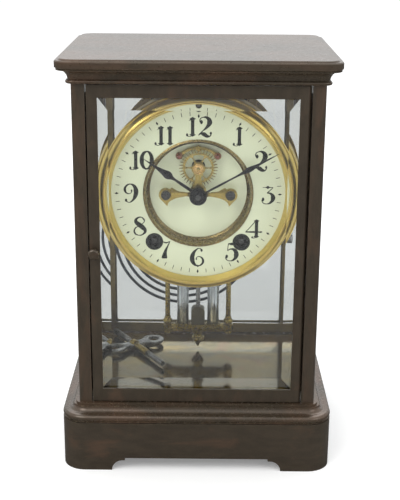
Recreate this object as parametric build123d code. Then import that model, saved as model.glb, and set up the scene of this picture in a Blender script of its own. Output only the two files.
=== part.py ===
"""Four-glass mantel clock with a visible escapement, a mercury pendulum and a coil gong.

Millimetres. +Z is up, the front faces -Y and the origin is the middle of the footprint.
"""
import os
from math import cos, radians, sin

from build123d import *

# ---- case ----
PILLAR_X = 71.0            # outer half width over the pillars
PILLAR_Y = 59.2            # outer half depth over the pillars
PILLAR = 7.8               # side of a square pillar
BASE_OUT = 10.1            # how far the plinth stands out past the pillars
BASE_R = 13.9              # plan radius of the plinth corners
PLINTH_TOP = 31.0
PLINTH_WALL = 7.0
FLOOR_Z = 40.6             # top of the base, where the pillars stand
HEAD_Z = 232.9             # underside of the cornice
CORNICE_TOP = 241.2
CAP_TOP = 246.8
CAP_OUT = 8.7
CAP_R = 10.5
FOOT_HEIGHT = 8.0          # height of the cut-outs between the bracket feet

# ---- doors and side frames ----
DOOR_HALF = 62.4
DOOR_LOW = 41.1
DOOR_HIGH = 232.3
DOOR_THICK = 4.6
DOOR_FACE = 59.0
STILE = 6.0
RAIL_TOP = 7.3
RAIL_LOW = 8.0
GLASS_THICK = 3.0
GLASS_LAP = 1.3
BEVEL_SIDE = 5.6
BEVEL_END = 7.0
BEVEL_DEPTH = 2.2
PIN_R = 0.8
PIN_INSET = 2.3            # hinge axis in from the edge and the face of the door
KNOB_Z = 135.2
KNOB_IN = 2.6              # knob centre in from the edge of the door

# ---- dial ----
DIAL_Z = 166.6
DIAL_Y = -42.2             # face of the hour ring
DIAL_R = 50.8              # visible radius of the hour ring
BEZEL_R = 57.9
RECESS_R = 28.6
RECESS_DEPTH = 8.0
PAN_R = 56.0
WIND_X = 25.7
WIND_DROP = 29.3
GROMMET_R = 5.2
REGULATOR_RISE = 49.8

# ---- escapement ----
ESCAPE_RISE = 14.6
ESCAPE_R = 11.4
ESCAPE_TEETH = 36
ANCHOR_RISE = 25.4
PALLET_X = 11.2
PALLET_RISE = 6.8          # above the escape wheel's centre
EAR_X = 18.9
EAR_DROP = 1.0

# ---- movement ----
PLATE_R = 52.4
PLATE_T = 1.6
FRONT_PLATE_Y = -28.0      # front face
BACK_PLATE_Y = 3.2         # front face
RUN = 0.06                 # running clearance on a radius
ARBOR_R = 1.5
ESCAPE_HOLE_R = 4.0        # opening in the dial centre behind the escape wheel
HOUR_PIPE_R = 2.4
BARREL_R = 17.5
BARREL_TIP = 20.0
BARREL_TEETH = 72

# ---- pendulum, gong and hammer ----
PENDULUM_Y = 25.0
PIVOT_Z = DIAL_Z + ANCHOR_RISE
COLUMN_X = 20.3
JAR_X = 10.1
JAR_R = 3.9
BAR_LOW = 54.4
BAR_HIGH = 118.0
GONG_X = -10.0
GONG_Y = 44.0
GONG_Z = 113.4
GONG_R = 46.0
GONG_PITCH = 4.6
GONG_TURNS = 4
GONG_WIRE = 1.0
HAMMER_X = 40.0
HAMMER_Z = 149.0

# ---- winding key ----
KEY_TURN = 32.0            # how the key lies, turned from +Y
KEY_X = -22.4              # the key's hollow tip
KEY_Y = -7.8
KEY_R = 3.1                # boss of the key, on which it rests
KEY_LENGTH = 66.0

# ---- details ----
SCREW_R = 1.6
SCREW_HEAD_R = 3.0
SCREW_HEAD = 2.2
SCREW_BITE = 14.0
PILLAR_CORNER = 3.0
ARCH_R = 6.5
FRONT_ARCH = 43.2
SIDE_ARCH = 31.4
FLOOR_X = 62.0
FLOOR_Y = 50.8
FLOOR_T = 1.5
FIT = 0.05
SEAT_BACK = 0.4
SIDE_THICK = 4.4
SIDE_STILE = 4.2
SIDE_IN = 1.0              # side panels lie this far in from the pillars' faces
KNOB_NECK = 1.3
RING_R = 54.9
RING_BACK = -40.6
RECESS_OUT = 32.2
PAN_BACK = -32.0
DIAL_FOOT_OUT = 47.0
DIAL_FEET = (100, 200, 340)
REGULATOR_R = 1.1
BRIDGE_POST_R = 2.0
BRIDGE_SCREW_R = 1.1
BRIDGE_Y = -41.6
ESCAPE_Y = -39.0
ANCHOR_Y = -37.0
PALLET_R = 1.0
THIN_R = 0.8
HOUR_Y = -45.0             # back face of the hour hand
MINUTE_Y = -48.3           # back face of the minute hand
HOUR_LENGTH = 38.8
MINUTE_LENGTH = 53.2
HOUR_ANGLE = 304.0
MINUTE_ANGLE = 61.0
HOUR_WHEEL_Y = -31.4
CANNON_FRONT = -30.3
MOTION_OFF = 12.0
STUD_R = 0.9
CRUTCH_Y = 8.0
CRUTCH_LENGTH = 30.0
ROD_R = 1.45
NUT_SCREW_R = 1.2
JAR_FILL = 46.0
GONG_BLOCK = 9.0
GONG_ARM_Z = 135.0
HAMMER_PIVOT_R = 1.2
KEY_WING = 38.6
WINDER_R = 2.5
SQUARE = 2.4
SQUARE_Y = -40.4
RATCHET_Y = -30.6
BARREL_FRONT = -24.0
BARREL_BACK = -6.0
HANGER_MID = (FRONT_PLATE_Y + PLATE_T + BACK_PLATE_Y) / 2
HANGER_BOLTS = (-22.0, 22.0)
HANGER_BOLT_R = 1.8
HANGER_SCREWS = (-20.0, 20.0)
HANGER_SCREW_R = 1.2
HANGER_SCREW_Z = DIAL_Z + 41.0
MIDDLE_AT = (10.5, -12.0)  # arbors, from the dial centre
THIRD_AT = (-12.0, 9.0)
STRIKE_AT = (-33.7, -7.7)
FLY_AT = (-28.6, 5.0)
PLATE_POSTS = ((-42.0, 14.0), (42.0, 14.0), (-8.0, -46.0), (8.0, -46.0))
PIVOTS = (
    (0, 0, ARBOR_R),
    (0, ESCAPE_RISE, THIN_R),
    (0, ANCHOR_RISE, THIN_R),
    (0, REGULATOR_RISE, REGULATOR_R),
    (*MIDDLE_AT, THIN_R),
    (*THIRD_AT, THIN_R),
    (*STRIKE_AT, THIN_R),
    (*FLY_AT, THIN_R),
)


# ---- helpers ----
def box(x0, x1, y0, y1, z0, z1):
    """A block between two corners."""
    return Pos((x0 + x1) / 2, (y0 + y1) / 2, (z0 + z1) / 2) * Box(x1 - x0, y1 - y0, z1 - z0)


def slab(sketch, front, back):
    """A drawing in X and Z, solid from y = front to y = back."""
    plane = Plane((0, back, 0), x_dir=(1, 0, 0), z_dir=(0, -1, 0))
    return extrude(plane * sketch, amount=back - front)


def disc(r, front, back, x=0.0, z=0.0):
    """A round bar along Y."""
    return slab(Pos(x, z) * Circle(r), front, back)


def tube(r, bore, front, back, x=0.0, z=0.0):
    """A round bar along Y with a bore."""
    return slab(Pos(x, z) * (Circle(r) - Circle(bore)), front, back)


def post(r, x, y, low, high):
    """A round bar along Z."""
    return Pos(x, y, (low + high) / 2) * Cylinder(r, high - low)


def turned_y(points, x=0.0, z=0.0):
    """A piece turned about an axis along Y from (radius, y) points."""
    face = make_face(Polyline(*[(r, y, 0) for r, y in points], close=True))
    return Pos(x, 0, z) * revolve(face, Axis.Y)


def turned_z(points, x=0.0, y=0.0):
    """A piece turned about an axis along Z from (radius, z) points."""
    face = make_face(Polyline(*[(r, 0, z) for r, z in points], close=True))
    return Pos(x, y, 0) * revolve(face, Axis.Z)


def polar(r, degrees):
    """A point at an angle from +X."""
    return (r * cos(radians(degrees)), r * sin(radians(degrees)))


def toothed(count, tip, root, tip_share=0.3, lean=0.0):
    """A toothed disc; lean moves the tips round, as on an escape wheel."""
    points = []
    step = 360.0 / count
    for tooth in range(count):
        at = tooth * step
        points.append(polar(root, at - 0.40 * step))
        points.append(polar(tip, at - tip_share / 2 * step + lean * step))
        points.append(polar(tip, at + tip_share / 2 * step + lean * step))
        points.append(polar(root, at + 0.40 * step))
    return make_face(Polyline(*points, close=True))


def crossed(wheel, rim, hub, arm, arms):
    """A wheel drawing with its crossings cut out between arms."""
    spokes = Rectangle(2 * rim, arm)
    for n in range(1, arms):
        spokes += Rot(0, 0, 180.0 * n / arms) * Rectangle(2 * rim, arm)
    return wheel - (Circle(rim) - Circle(hub) - spokes)


def moulded(entries, corner):
    """A rounded slab with a moulded edge; entries run from its bottom to its top.

    An entry is (overhang, z) for a straight run, or (overhang, z, mid_overhang, mid_z) for an
    arc through a middle point. The corner is the plan radius at the largest overhang.
    """
    reach = max(entry[0] for entry in entries)
    long_x = PILLAR_X + reach - corner
    long_y = PILLAR_Y + reach - corner
    low = entries[0][1]
    high = entries[-1][1]
    shift = corner - reach
    last = entries[0]
    edges = [Line((0, low), (shift + last[0], low))]
    for entry in entries[1:]:
        start = (shift + last[0], last[1])
        stop = (shift + entry[0], entry[1])
        if len(entry) == 4:
            edges.append(ThreePointArc(start, (shift + entry[2], entry[3]), stop))
        else:
            edges.append(Line(start, stop))
        last = entry
    edges.append(Line((shift + last[0], high), (0, high)))
    edges.append(Line((0, high), (0, low)))
    drawing = make_face(edges)
    facing_x = Plane((0, 0, 0), x_dir=(1, 0, 0), z_dir=(0, -1, 0)) * drawing
    facing_y = Plane((0, 0, 0), x_dir=(0, 1, 0), z_dir=(1, 0, 0)) * drawing
    side = Pos(long_x, 0, 0) * extrude(facing_x, amount=long_y, both=True)
    end = Pos(0, long_y, 0) * extrude(facing_y, amount=long_x, both=True)
    turned = revolve(facing_x, Axis.Z)
    body = box(-long_x, long_x, -long_y, long_y, low, high)
    for half_turn in (0, 180):
        body += Rot(0, 0, half_turn) * side
        body += Rot(0, 0, half_turn) * end
    for x in (-long_x, long_x):
        for y in (-long_y, long_y):
            body += Pos(x, y, 0) * turned
    return body


def pillar_spots():
    """Centres of the four pillars."""
    x = PILLAR_X - PILLAR / 2
    y = PILLAR_Y - PILLAR / 2
    return [(-x, -y), (x, -y), (-x, y), (x, y)]


def screw_holes(low, high):
    """Clearance for the eight pillar screws between two heights."""
    holes = Part()
    for x, y in pillar_spots():
        holes += post(SCREW_R, x, y, low, high)
    return holes


def foot_arch(half):
    """Outline of the cut-out between two bracket feet, centred on X."""
    step = half + 1.3
    side = half + 1.3 + ARCH_R
    right = [
        Line((0, FOOT_HEIGHT), (half, FOOT_HEIGHT)),
        Line((half, FOOT_HEIGHT), (half, ARCH_R)),
        Line((half, ARCH_R), (step, ARCH_R)),
        RadiusArc((step, ARCH_R), (side, 0), ARCH_R),
        Line((side, 0), (side, -1)),
        Line((side, -1), (0, -1)),
        Line((0, -1), (0, FOOT_HEIGHT)),
    ]
    face = make_face(right)
    return face + mirror(face, Plane.YZ)


def plinth():
    """Cast plinth: four walls with bracket feet at the corners, open below."""
    outer = RectangleRounded(2 * (PILLAR_X + BASE_OUT), 2 * (PILLAR_Y + BASE_OUT), BASE_R)
    inner_x = 2 * (PILLAR_X + BASE_OUT - PLINTH_WALL)
    inner_y = 2 * (PILLAR_Y + BASE_OUT - PLINTH_WALL)
    inner = RectangleRounded(inner_x, inner_y, BASE_R - PLINTH_WALL)
    body = extrude(outer - inner, amount=PLINTH_TOP)
    body -= slab(foot_arch(FRONT_ARCH), -PILLAR_Y - 20, PILLAR_Y + 20)
    body -= Rot(0, 0, 90) * slab(foot_arch(SIDE_ARCH), -PILLAR_X - 20, PILLAR_X + 20)
    return body


def base_moulding():
    """Moulded top of the base: fillet, round, cove and step, sunk for the floor plate."""
    body = moulded(
        [
            (9.2, PLINTH_TOP),
            (9.7, 31.3),
            (9.7, 31.7),
            (9.2, 32.0),
            (8.2, 35.75, BASE_OUT + 0.1, 33.75),
            (7.2, 35.9),
            (3.4, 39.0, 4.4, 36.8),
            (2.3, 39.0),
            (2.3, FLOOR_Z),
        ],
        BASE_R,
    )
    body -= box(-FLOOR_X, FLOOR_X, -FLOOR_Y, FLOOR_Y, FLOOR_Z - FLOOR_T, FLOOR_Z + 1)
    body -= screw_holes(PLINTH_TOP - 1, FLOOR_Z + 1)
    for x, y in hinge_spots():
        body -= post(PIN_R + RUN, x, y, FLOOR_Z - 3, FLOOR_Z + 1)
    return body


def hinge_spots():
    """Axes of the front door (right) and the back door (left)."""
    x = DOOR_HALF - PIN_INSET
    y = DOOR_FACE - PIN_INSET
    return [(x, -y), (-x, y)]


def floor_plate():
    """Polished plate that lines the floor of the case."""
    return box(-FLOOR_X, FLOOR_X, -FLOOR_Y, FLOOR_Y, FLOOR_Z - FLOOR_T, FLOOR_Z)


def pillar(x, y):
    """A square post with a rounded outer corner and a screw hole in each end."""
    body = box(x - PILLAR / 2, x + PILLAR / 2, y - PILLAR / 2, y + PILLAR / 2, FLOOR_Z, HEAD_Z)
    corners = body.edges().filter_by(Axis.Z)
    outer = max(corners, key=lambda edge: abs(edge.center().X) + abs(edge.center().Y))
    body = fillet(outer, PILLAR_CORNER)
    body -= post(SCREW_R, x, y, FLOOR_Z - 1, FLOOR_Z + SCREW_BITE)
    body -= post(SCREW_R, x, y, HEAD_Z - SCREW_BITE, HEAD_Z + 1)
    return body


def pillar_screws():
    """Eight screws that tie the pillars between the base and the cornice."""
    parts = []
    for x, y in pillar_spots():
        low = post(SCREW_R, x, y, PLINTH_TOP, FLOOR_Z + SCREW_BITE)
        parts.append(low + post(SCREW_HEAD_R, x, y, PLINTH_TOP - SCREW_HEAD, PLINTH_TOP))
        parts.append(post(SCREW_R, x, y, HEAD_Z - SCREW_BITE, CORNICE_TOP))
    return parts


def cornice():
    """Moulded slab under the cap: bead, deep cavetto and fillet."""
    body = moulded(
        [
            (1.7, HEAD_Z),
            (1.7, 235.2, 2.8, 234.1),
            (1.5, 235.5),
            (7.4, 240.5, 3.4, 239.2),
            (7.9, 240.5),
            (7.9, CORNICE_TOP),
        ],
        CAP_R - 0.8,
    )
    body -= screw_holes(HEAD_Z - 1, CORNICE_TOP + 1)
    for x, y in hinge_spots():
        body -= post(PIN_R + RUN, x, y, HEAD_Z - 1, HEAD_Z + 3)
    for x in HANGER_BOLTS:
        body -= post(HANGER_BOLT_R, x, HANGER_MID, HEAD_Z - 1, HEAD_Z + 5)
    return body


def cap():
    """Heavy top slab with a flat eased edge and a shallow raised table."""
    return moulded(
        [
            (7.6, CORNICE_TOP),
            (8.2, 241.6),
            (CAP_OUT, 242.0),
            (CAP_OUT, 245.3),
            (8.1, 245.9),
            (6.6, 245.9),
            (6.3, 246.3),
            (5.7, CAP_TOP),
        ],
        CAP_R,
    )


# ---- doors and sides ----
def framed(half, low, high, thick, stile, rail_low, rail_high):
    """A frame lying in X and Z with a rabbet behind, and the size of its glass."""
    mid = (low + high) / 2
    outline = Pos(0, mid) * Rectangle(2 * half, high - low)
    open_half = half - stile
    open_low = low + rail_low
    open_high = high - rail_high
    open_mid = (open_low + open_high) / 2
    opening = Pos(0, open_mid) * Rectangle(2 * open_half, open_high - open_low)
    seat = Pos(0, open_mid) * Rectangle(
        2 * (open_half + GLASS_LAP), open_high - open_low + 2 * GLASS_LAP
    )
    frame = slab(outline, -thick, 0) - slab(opening, -thick - 1, 1)
    frame -= slab(seat, -GLASS_THICK - SEAT_BACK, 1)
    return frame, open_half + GLASS_LAP, open_low - GLASS_LAP, open_high + GLASS_LAP


def bevelled(half, low, high):
    """A pane whose front face slopes down to a thin edge on all four sides."""
    mid = (low + high) / 2
    back = -SEAT_BACK
    thin = back - (GLASS_THICK - BEVEL_DEPTH)
    front = back - GLASS_THICK
    pane = slab(Pos(0, mid) * Rectangle(2 * half, high - low), thin, back)
    side = BEVEL_SIDE + GLASS_LAP
    end = BEVEL_END + GLASS_LAP
    plane = Plane((0, thin, 0), x_dir=(1, 0, 0), z_dir=(0, -1, 0))
    wide = plane * (Pos(0, mid) * Rectangle(2 * half, high - low))
    plane = Plane((0, front, 0), x_dir=(1, 0, 0), z_dir=(0, -1, 0))
    table = plane * (Pos(0, mid) * Rectangle(2 * (half - side), high - low - 2 * end))
    return pane + loft([wide.face(), table.face()])


def door():
    """Frame with its hinge pins, glass and knob of the front door, closed."""
    frame, half, low, high = framed(
        DOOR_HALF, DOOR_LOW, DOOR_HIGH, DOOR_THICK, STILE, RAIL_LOW, RAIL_TOP
    )
    glass = bevelled(half - FIT, low + FIT, high - FIT)
    place = Pos(0, -DOOR_FACE + DOOR_THICK, 0)
    frame = place * frame
    glass = place * glass
    hinge_edges = [
        edge
        for edge in frame.edges().filter_by(Axis.Z)
        if abs(edge.center().X - DOOR_HALF) < 0.01 and edge.center().Y < -DOOR_FACE + 0.01
    ]
    frame = fillet(hinge_edges, PIN_INSET - 0.05)
    x, y = hinge_spots()[0]
    frame += post(PIN_R, x, y, FLOOR_Z - 2.6, DOOR_LOW + 6)
    frame += post(PIN_R, x, y, DOOR_HIGH - 6, HEAD_Z + 2.6)
    knob_x = -DOOR_HALF + KNOB_IN
    frame -= disc(KNOB_NECK + RUN, -DOOR_FACE - 1, -DOOR_FACE + DOOR_THICK + 1, knob_x, KNOB_Z)
    knob = turned_y(
        [
            (0, -DOOR_FACE - 5.6),
            (1.6, -DOOR_FACE - 5.5),
            (2.9, -DOOR_FACE - 4.7),
            (3.4, -DOOR_FACE - 3.4),
            (2.9, -DOOR_FACE - 2.4),
            (1.7, -DOOR_FACE - 2.0),
            (1.7, -DOOR_FACE - 0.9),
            (2.4, -DOOR_FACE - 0.1),
            (KNOB_NECK, -DOOR_FACE - 0.1),
            (KNOB_NECK, -DOOR_FACE + DOOR_THICK + 1.4),
            (0, -DOOR_FACE + DOOR_THICK + 1.4),
        ],
        knob_x,
        KNOB_Z,
    )
    inside = -DOOR_FACE + DOOR_THICK
    knob += box(knob_x - 1.1, knob_x + 1.1, inside + 0.2, inside + 1.2, KNOB_Z - 2.4, KNOB_Z + 2.4)
    return {"frame": frame, "glass": glass, "knob": knob}


def side_panel():
    """Frame and glass of the right-hand side, between its two pillars."""
    half = PILLAR_Y - PILLAR - FIT
    frame, glass_half, low, high = framed(
        half, FLOOR_Z + FIT, HEAD_Z - FIT, SIDE_THICK, SIDE_STILE, RAIL_LOW, RAIL_TOP
    )
    glass = bevelled(glass_half - FIT, low + FIT, high - FIT)
    turn = Pos(PILLAR_X - SIDE_IN - SIDE_THICK, 0, 0) * Rot(0, 0, 90)
    return turn * frame, turn * glass


# ---- dial ----
def winding_spots():
    """Centres of the time (right) and strike (left) winding arbors."""
    return [(WIND_X, DIAL_Z - WIND_DROP), (-WIND_X, DIAL_Z - WIND_DROP)]


def dial_holes(front, back, wind_r):
    """Openings for the winding and regulator arbors."""
    holes = disc(REGULATOR_R + 0.7, front, back, 0, DIAL_Z + REGULATOR_RISE)
    for x, z in winding_spots():
        holes += disc(wind_r, front, back, x, z)
    return holes


def dial_pan():
    """Dark dish that carries the dial, with three feet riveted to it."""
    body = turned_y(
        [
            (0, PAN_BACK),
            (PAN_R, PAN_BACK),
            (PAN_R, RING_BACK),
            (PAN_R - 0.9, RING_BACK),
            (PAN_R - 0.9, PAN_BACK - 1.0),
            (0, PAN_BACK - 1.0),
        ],
        0,
        DIAL_Z,
    )
    body -= dial_holes(PAN_BACK - 2, PAN_BACK + 1, 4.4)
    body -= disc(3.0, PAN_BACK - 2, PAN_BACK + 1, 0, DIAL_Z)
    body -= disc(2.4, PAN_BACK - 2, PAN_BACK + 1, 0, DIAL_Z + ESCAPE_RISE)
    body -= disc(1.6, PAN_BACK - 2, PAN_BACK + 1, 0, DIAL_Z + ANCHOR_RISE)
    for x in (-EAR_X, EAR_X):
        body -= disc(BRIDGE_POST_R, PAN_BACK - 2, PAN_BACK + 1, x, DIAL_Z - EAR_DROP)
    for turn in DIAL_FEET:
        x, z = polar(DIAL_FOOT_OUT, turn)
        body += disc(1.6, PAN_BACK, FRONT_PLATE_Y, x, DIAL_Z + z)
    return body


def bezel():
    """Spun brass bezel: skirt, outer rim, hollow band, lip and sloping sight ring."""
    profile = [
        Line((BEZEL_R - 1.5, DIAL_Y + 6.5), (BEZEL_R - 0.3, DIAL_Y + 6.5)),
        Line((BEZEL_R - 0.3, DIAL_Y + 6.5), (BEZEL_R - 0.3, DIAL_Y + 1.0)),
        ThreePointArc(
            (BEZEL_R - 0.3, DIAL_Y + 1.0), (BEZEL_R, DIAL_Y + 0.1), (BEZEL_R - 0.5, DIAL_Y - 0.9)
        ),
        Line((BEZEL_R - 0.5, DIAL_Y - 0.9), (BEZEL_R - 1.2, DIAL_Y - 1.1)),
        ThreePointArc(
            (BEZEL_R - 1.2, DIAL_Y - 1.1), (BEZEL_R - 2.2, DIAL_Y - 3.6), (BEZEL_R - 4.4, DIAL_Y - 5.2)
        ),
        ThreePointArc(
            (BEZEL_R - 4.4, DIAL_Y - 5.2), (BEZEL_R - 5.0, DIAL_Y - 5.6), (BEZEL_R - 5.6, DIAL_Y - 5.2)
        ),
        Line((BEZEL_R - 5.6, DIAL_Y - 5.2), (DIAL_R, DIAL_Y - 0.8)),
        Line((DIAL_R, DIAL_Y - 0.8), (DIAL_R, DIAL_Y - FIT)),
        Line((DIAL_R, DIAL_Y - FIT), (BEZEL_R - 1.5, DIAL_Y - FIT)),
        Line((BEZEL_R - 1.5, DIAL_Y - FIT), (BEZEL_R - 1.5, DIAL_Y + 6.5)),
    ]
    return Pos(0, 0, DIAL_Z) * revolve(make_face(profile), Axis.Y)


def dial_ring():
    """Enamelled ring that carries the hour numerals."""
    body = tube(RING_R, RECESS_OUT + FIT, DIAL_Y, RING_BACK, 0, DIAL_Z)
    return body - dial_holes(DIAL_Y - 1, RING_BACK + 1, GROMMET_R - 0.9)


def recess_ring():
    """Stepped brass ring between the hour ring and the sunk centre."""
    floor = DIAL_Y + RECESS_DEPTH
    return turned_y(
        [
            (RECESS_OUT, DIAL_Y - 0.1),
            (RECESS_OUT, floor),
            (RECESS_R, floor),
            (RECESS_R, floor - 1.0),
            (RECESS_R + 1.0, floor - 3.4),
            (RECESS_R + 1.6, DIAL_Y + 1.2),
            (RECESS_R + 2.2, DIAL_Y - 0.7),
            (RECESS_R + 3.0, DIAL_Y - 0.9),
        ],
        0,
        DIAL_Z,
    )


def dial_centre():
    """Sunk enamel disc behind the escapement."""
    front = DIAL_Y + RECESS_DEPTH
    body = disc(RECESS_OUT + 0.4, front, PAN_BACK - 1.0, 0, DIAL_Z)
    body -= disc(3.0, front - 1, front + 3, 0, DIAL_Z)
    body -= disc(ESCAPE_HOLE_R, front - 1, front + 3, 0, DIAL_Z + ESCAPE_RISE)
    body -= disc(1.6, front - 1, front + 3, 0, DIAL_Z + ANCHOR_RISE)
    for x in (-EAR_X, EAR_X):
        body -= disc(BRIDGE_POST_R, front - 1, front + 3, x, DIAL_Z - EAR_DROP)
    return body


def winding_grommets():
    """Two dark rings that line the winding holes."""
    parts = []
    for x, z in winding_spots():
        parts.append(
            turned_y(
                [
                    (GROMMET_R - 0.9, RING_BACK + 0.6),
                    (GROMMET_R - 0.9, DIAL_Y),
                    (GROMMET_R, DIAL_Y),
                    (GROMMET_R - 0.4, DIAL_Y - 0.4),
                    (GROMMET_R - 1.6, DIAL_Y - 0.4),
                    (GROMMET_R - 1.6, RING_BACK + 0.6),
                ],
                x,
                z,
            )
        )
    return parts


# ---- hands and motion work ----
def hour_hand():
    """Pear hand with a long thin tip, at about ten past ten."""
    swell = Pos(0, 21.4) * Circle(2.3)
    taper = Polygon((-2.1, 22.4), (2.1, 22.4), (0.45, 31.5), (-0.45, 31.5), align=None)
    arm = Polygon((-1.0, 0), (1.0, 0), (0.8, 20.0), (-0.8, 20.0), align=None)
    tip = Polygon((-0.5, 30.0), (0.5, 30.0), (0.12, HOUR_LENGTH), (-0.12, HOUR_LENGTH), align=None)
    drawing = Circle(4.6) + arm + swell + taper + tip
    hand = slab(Rot(0, 0, -HOUR_ANGLE) * drawing, HOUR_Y - 0.8, HOUR_Y)
    return Pos(0, 0, DIAL_Z) * hand - disc(HOUR_PIPE_R, HOUR_Y - 2, HOUR_Y + 1, 0, DIAL_Z)


def minute_hand():
    """Long thin hand with a small leaf."""
    arm = Polygon((-0.7, 0), (0.7, 0), (0.5, 28.0), (-0.5, 28.0), align=None)
    leaf = Polygon(
        (-0.5, 27.0), (0.5, 27.0), (1.55, 33.5), (0.45, 40.0), (-0.45, 40.0), (-1.55, 33.5), align=None
    )
    tip = Polygon((-0.5, 39.0), (0.5, 39.0), (0.12, MINUTE_LENGTH), (-0.12, MINUTE_LENGTH), align=None)
    drawing = Circle(3.4) + arm + leaf + tip
    hand = slab(Rot(0, 0, -MINUTE_ANGLE) * drawing, MINUTE_Y - 0.8, MINUTE_Y)
    return Pos(0, 0, DIAL_Z) * hand - disc(ARBOR_R, MINUTE_Y - 2, MINUTE_Y + 1, 0, DIAL_Z)


def hand_collet():
    """Dark collet and nut that hold the minute hand."""
    front = MINUTE_Y - 0.8
    return turned_y(
        [
            (ARBOR_R, front),
            (5.1, front),
            (5.1, front - 0.5),
            (4.4, front - 1.1),
            (3.3, front - 1.1),
            (3.1, front - 2.1),
            (2.2, front - 2.5),
            (ARBOR_R, front - 2.5),
        ],
        0,
        DIAL_Z,
    )


def centre_arbor():
    """Centre arbor with its wheel, the intermediate pinion it meets and the cannon pinion."""
    body = disc(ARBOR_R, MINUTE_Y - 4.0, BACK_PLATE_Y + PLATE_T, 0, DIAL_Z)
    wheel = crossed(toothed(72, 13.0, 12.1), 10.6, 3.2, 1.6, 2)
    body += Pos(0, 0, DIAL_Z) * slab(wheel, -14.0, -13.0)
    body += Pos(0, 0, DIAL_Z) * slab(toothed(12, 3.0, 2.2), -3.8, -0.4)
    body += Pos(0, 0, DIAL_Z) * slab(toothed(12, 3.0, 2.2), CANNON_FRONT, FRONT_PLATE_Y - 0.3)
    return body


def hour_wheel():
    """Hour wheel on its pipe, running on the centre arbor."""
    body = Pos(0, 0, DIAL_Z) * slab(toothed(48, 9.5, 8.8) - Circle(2.0), HOUR_WHEEL_Y, HOUR_WHEEL_Y + 0.8)
    body += tube(HOUR_PIPE_R, ARBOR_R + RUN, HOUR_Y - 1.0, HOUR_WHEEL_Y + 0.8, 0, DIAL_Z)
    return body


def minute_wheel():
    """Minute wheel and pinion on a stud below the centre."""
    body = slab(toothed(36, 8.9, 8.2), -29.6, -28.8)
    body += slab(toothed(12, 2.4, 1.8), HOUR_WHEEL_Y, -29.6)
    body -= disc(STUD_R + RUN, -34, -27)
    return Pos(0, 0, DIAL_Z - MOTION_OFF) * body


# ---- visible escapement ----
def escape_wheel():
    """Escape wheel in front of the dial, its arbor and its pinion."""
    wheel = crossed(toothed(ESCAPE_TEETH, ESCAPE_R, 9.4, 0.08, 0.3), 8.2, 2.7, 1.1, 3)
    body = slab(wheel, ESCAPE_Y, ESCAPE_Y + 1.1)
    body += disc(THIN_R, BRIDGE_Y - 0.3, BACK_PLATE_Y + PLATE_T)
    body += slab(toothed(8, 2.0, 1.4), -22.0, -17.0)
    return Pos(0, 0, DIAL_Z + ESCAPE_RISE) * body


def anchor():
    """Pallet anchor on its arbor, with the crutch at the back end."""
    rise = ESCAPE_RISE + PALLET_RISE - ANCHOR_RISE
    seats = Pos(PALLET_X, rise) * Circle(2.1) + Pos(-PALLET_X, rise) * Circle(2.1)
    outer = ThreePointArc((-PALLET_X - 0.6, rise + 0.4), (0, 1.6), (PALLET_X + 0.6, rise + 0.4))
    inner = ThreePointArc((PALLET_X - 0.8, rise - 1.0), (0, -1.8), (-PALLET_X + 0.8, rise - 1.0))
    arch = make_face([
        outer,
        Line((PALLET_X + 0.6, rise + 0.4), (PALLET_X - 0.8, rise - 1.0)),
        inner,
        Line((-PALLET_X + 0.8, rise - 1.0), (-PALLET_X - 0.6, rise + 0.4)),
    ])
    crown = Polygon((-2.4, 0), (2.4, 0), (0.6, 1.8), (0, 2.6), (-0.6, 1.8), align=None)
    holes = Pos(PALLET_X, rise) * Circle(PALLET_R) + Pos(-PALLET_X, rise) * Circle(PALLET_R)
    body = slab(seats + arch + crown - holes, ANCHOR_Y, ANCHOR_Y + 1.0)
    body += disc(THIN_R, ANCHOR_Y - 0.8, CRUTCH_Y + 1.6)
    body += disc(1.7, CRUTCH_Y, CRUTCH_Y + 1.6)
    body += box(-0.9, 0.9, CRUTCH_Y, CRUTCH_Y + 1.6, -CRUTCH_LENGTH, 0)
    body += disc(0.9, CRUTCH_Y + 0.2, PENDULUM_Y - 3.5, 0, -CRUTCH_LENGTH)
    foot = -CRUTCH_LENGTH
    slot = ROD_R + RUN
    fork = box(-3.4, 3.4, PENDULUM_Y - 4.5, PENDULUM_Y + 3.0, foot - 0.8, foot + 0.8)
    fork -= box(-slot, slot, PENDULUM_Y - 2.5, PENDULUM_Y + 4, foot - 1, foot + 1)
    body += fork
    return Pos(0, 0, PIVOT_Z) * body


def pallet_pins():
    """Two jewel pins, rounded at the front, set in the anchor."""
    z = DIAL_Z + ESCAPE_RISE + PALLET_RISE
    return [disc(PALLET_R, ESCAPE_Y - 1.2, ANCHOR_Y + 1.0, x, z) for x in (-PALLET_X, PALLET_X)]


def escape_bridge():
    """Brass bridge in front of the escape wheel, with two teardrop ears on posts."""
    arm = Polygon((-1.6, 0), (1.6, 0), (1.3, ESCAPE_RISE), (-1.3, ESCAPE_RISE), align=None)
    neck = Polygon((0, -1.4), (9, -1.4), (16.5, -4.2), (16.5, 2.4), (9, 1.1), (0, 1), align=None)
    tail = Polygon((16.0, -3.6), (18.6, -7.8), (20.6, -4.6), align=None)
    ear = Pos(EAR_X, -EAR_DROP) * Circle(4.1) + neck + tail
    drawing = Circle(5.0) + arm + Pos(0, ESCAPE_RISE) * Circle(3.3) + ear + mirror(ear, Plane.YZ)
    body = slab(drawing, BRIDGE_Y, BRIDGE_Y + 1.2)
    for side in (-1, 1):
        body += disc(BRIDGE_POST_R, BRIDGE_Y + 1.0, PAN_BACK, side * EAR_X, -EAR_DROP)
        body -= disc(BRIDGE_SCREW_R, BRIDGE_Y - 1, BRIDGE_Y + 6.0, side * EAR_X, -EAR_DROP)
    body -= disc(HOUR_PIPE_R + 0.4, BRIDGE_Y - 1, BRIDGE_Y + 2)
    body -= disc(THIN_R + RUN, BRIDGE_Y - 1, BRIDGE_Y + 2, 0, ESCAPE_RISE)
    return Pos(0, 0, DIAL_Z) * body


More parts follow.
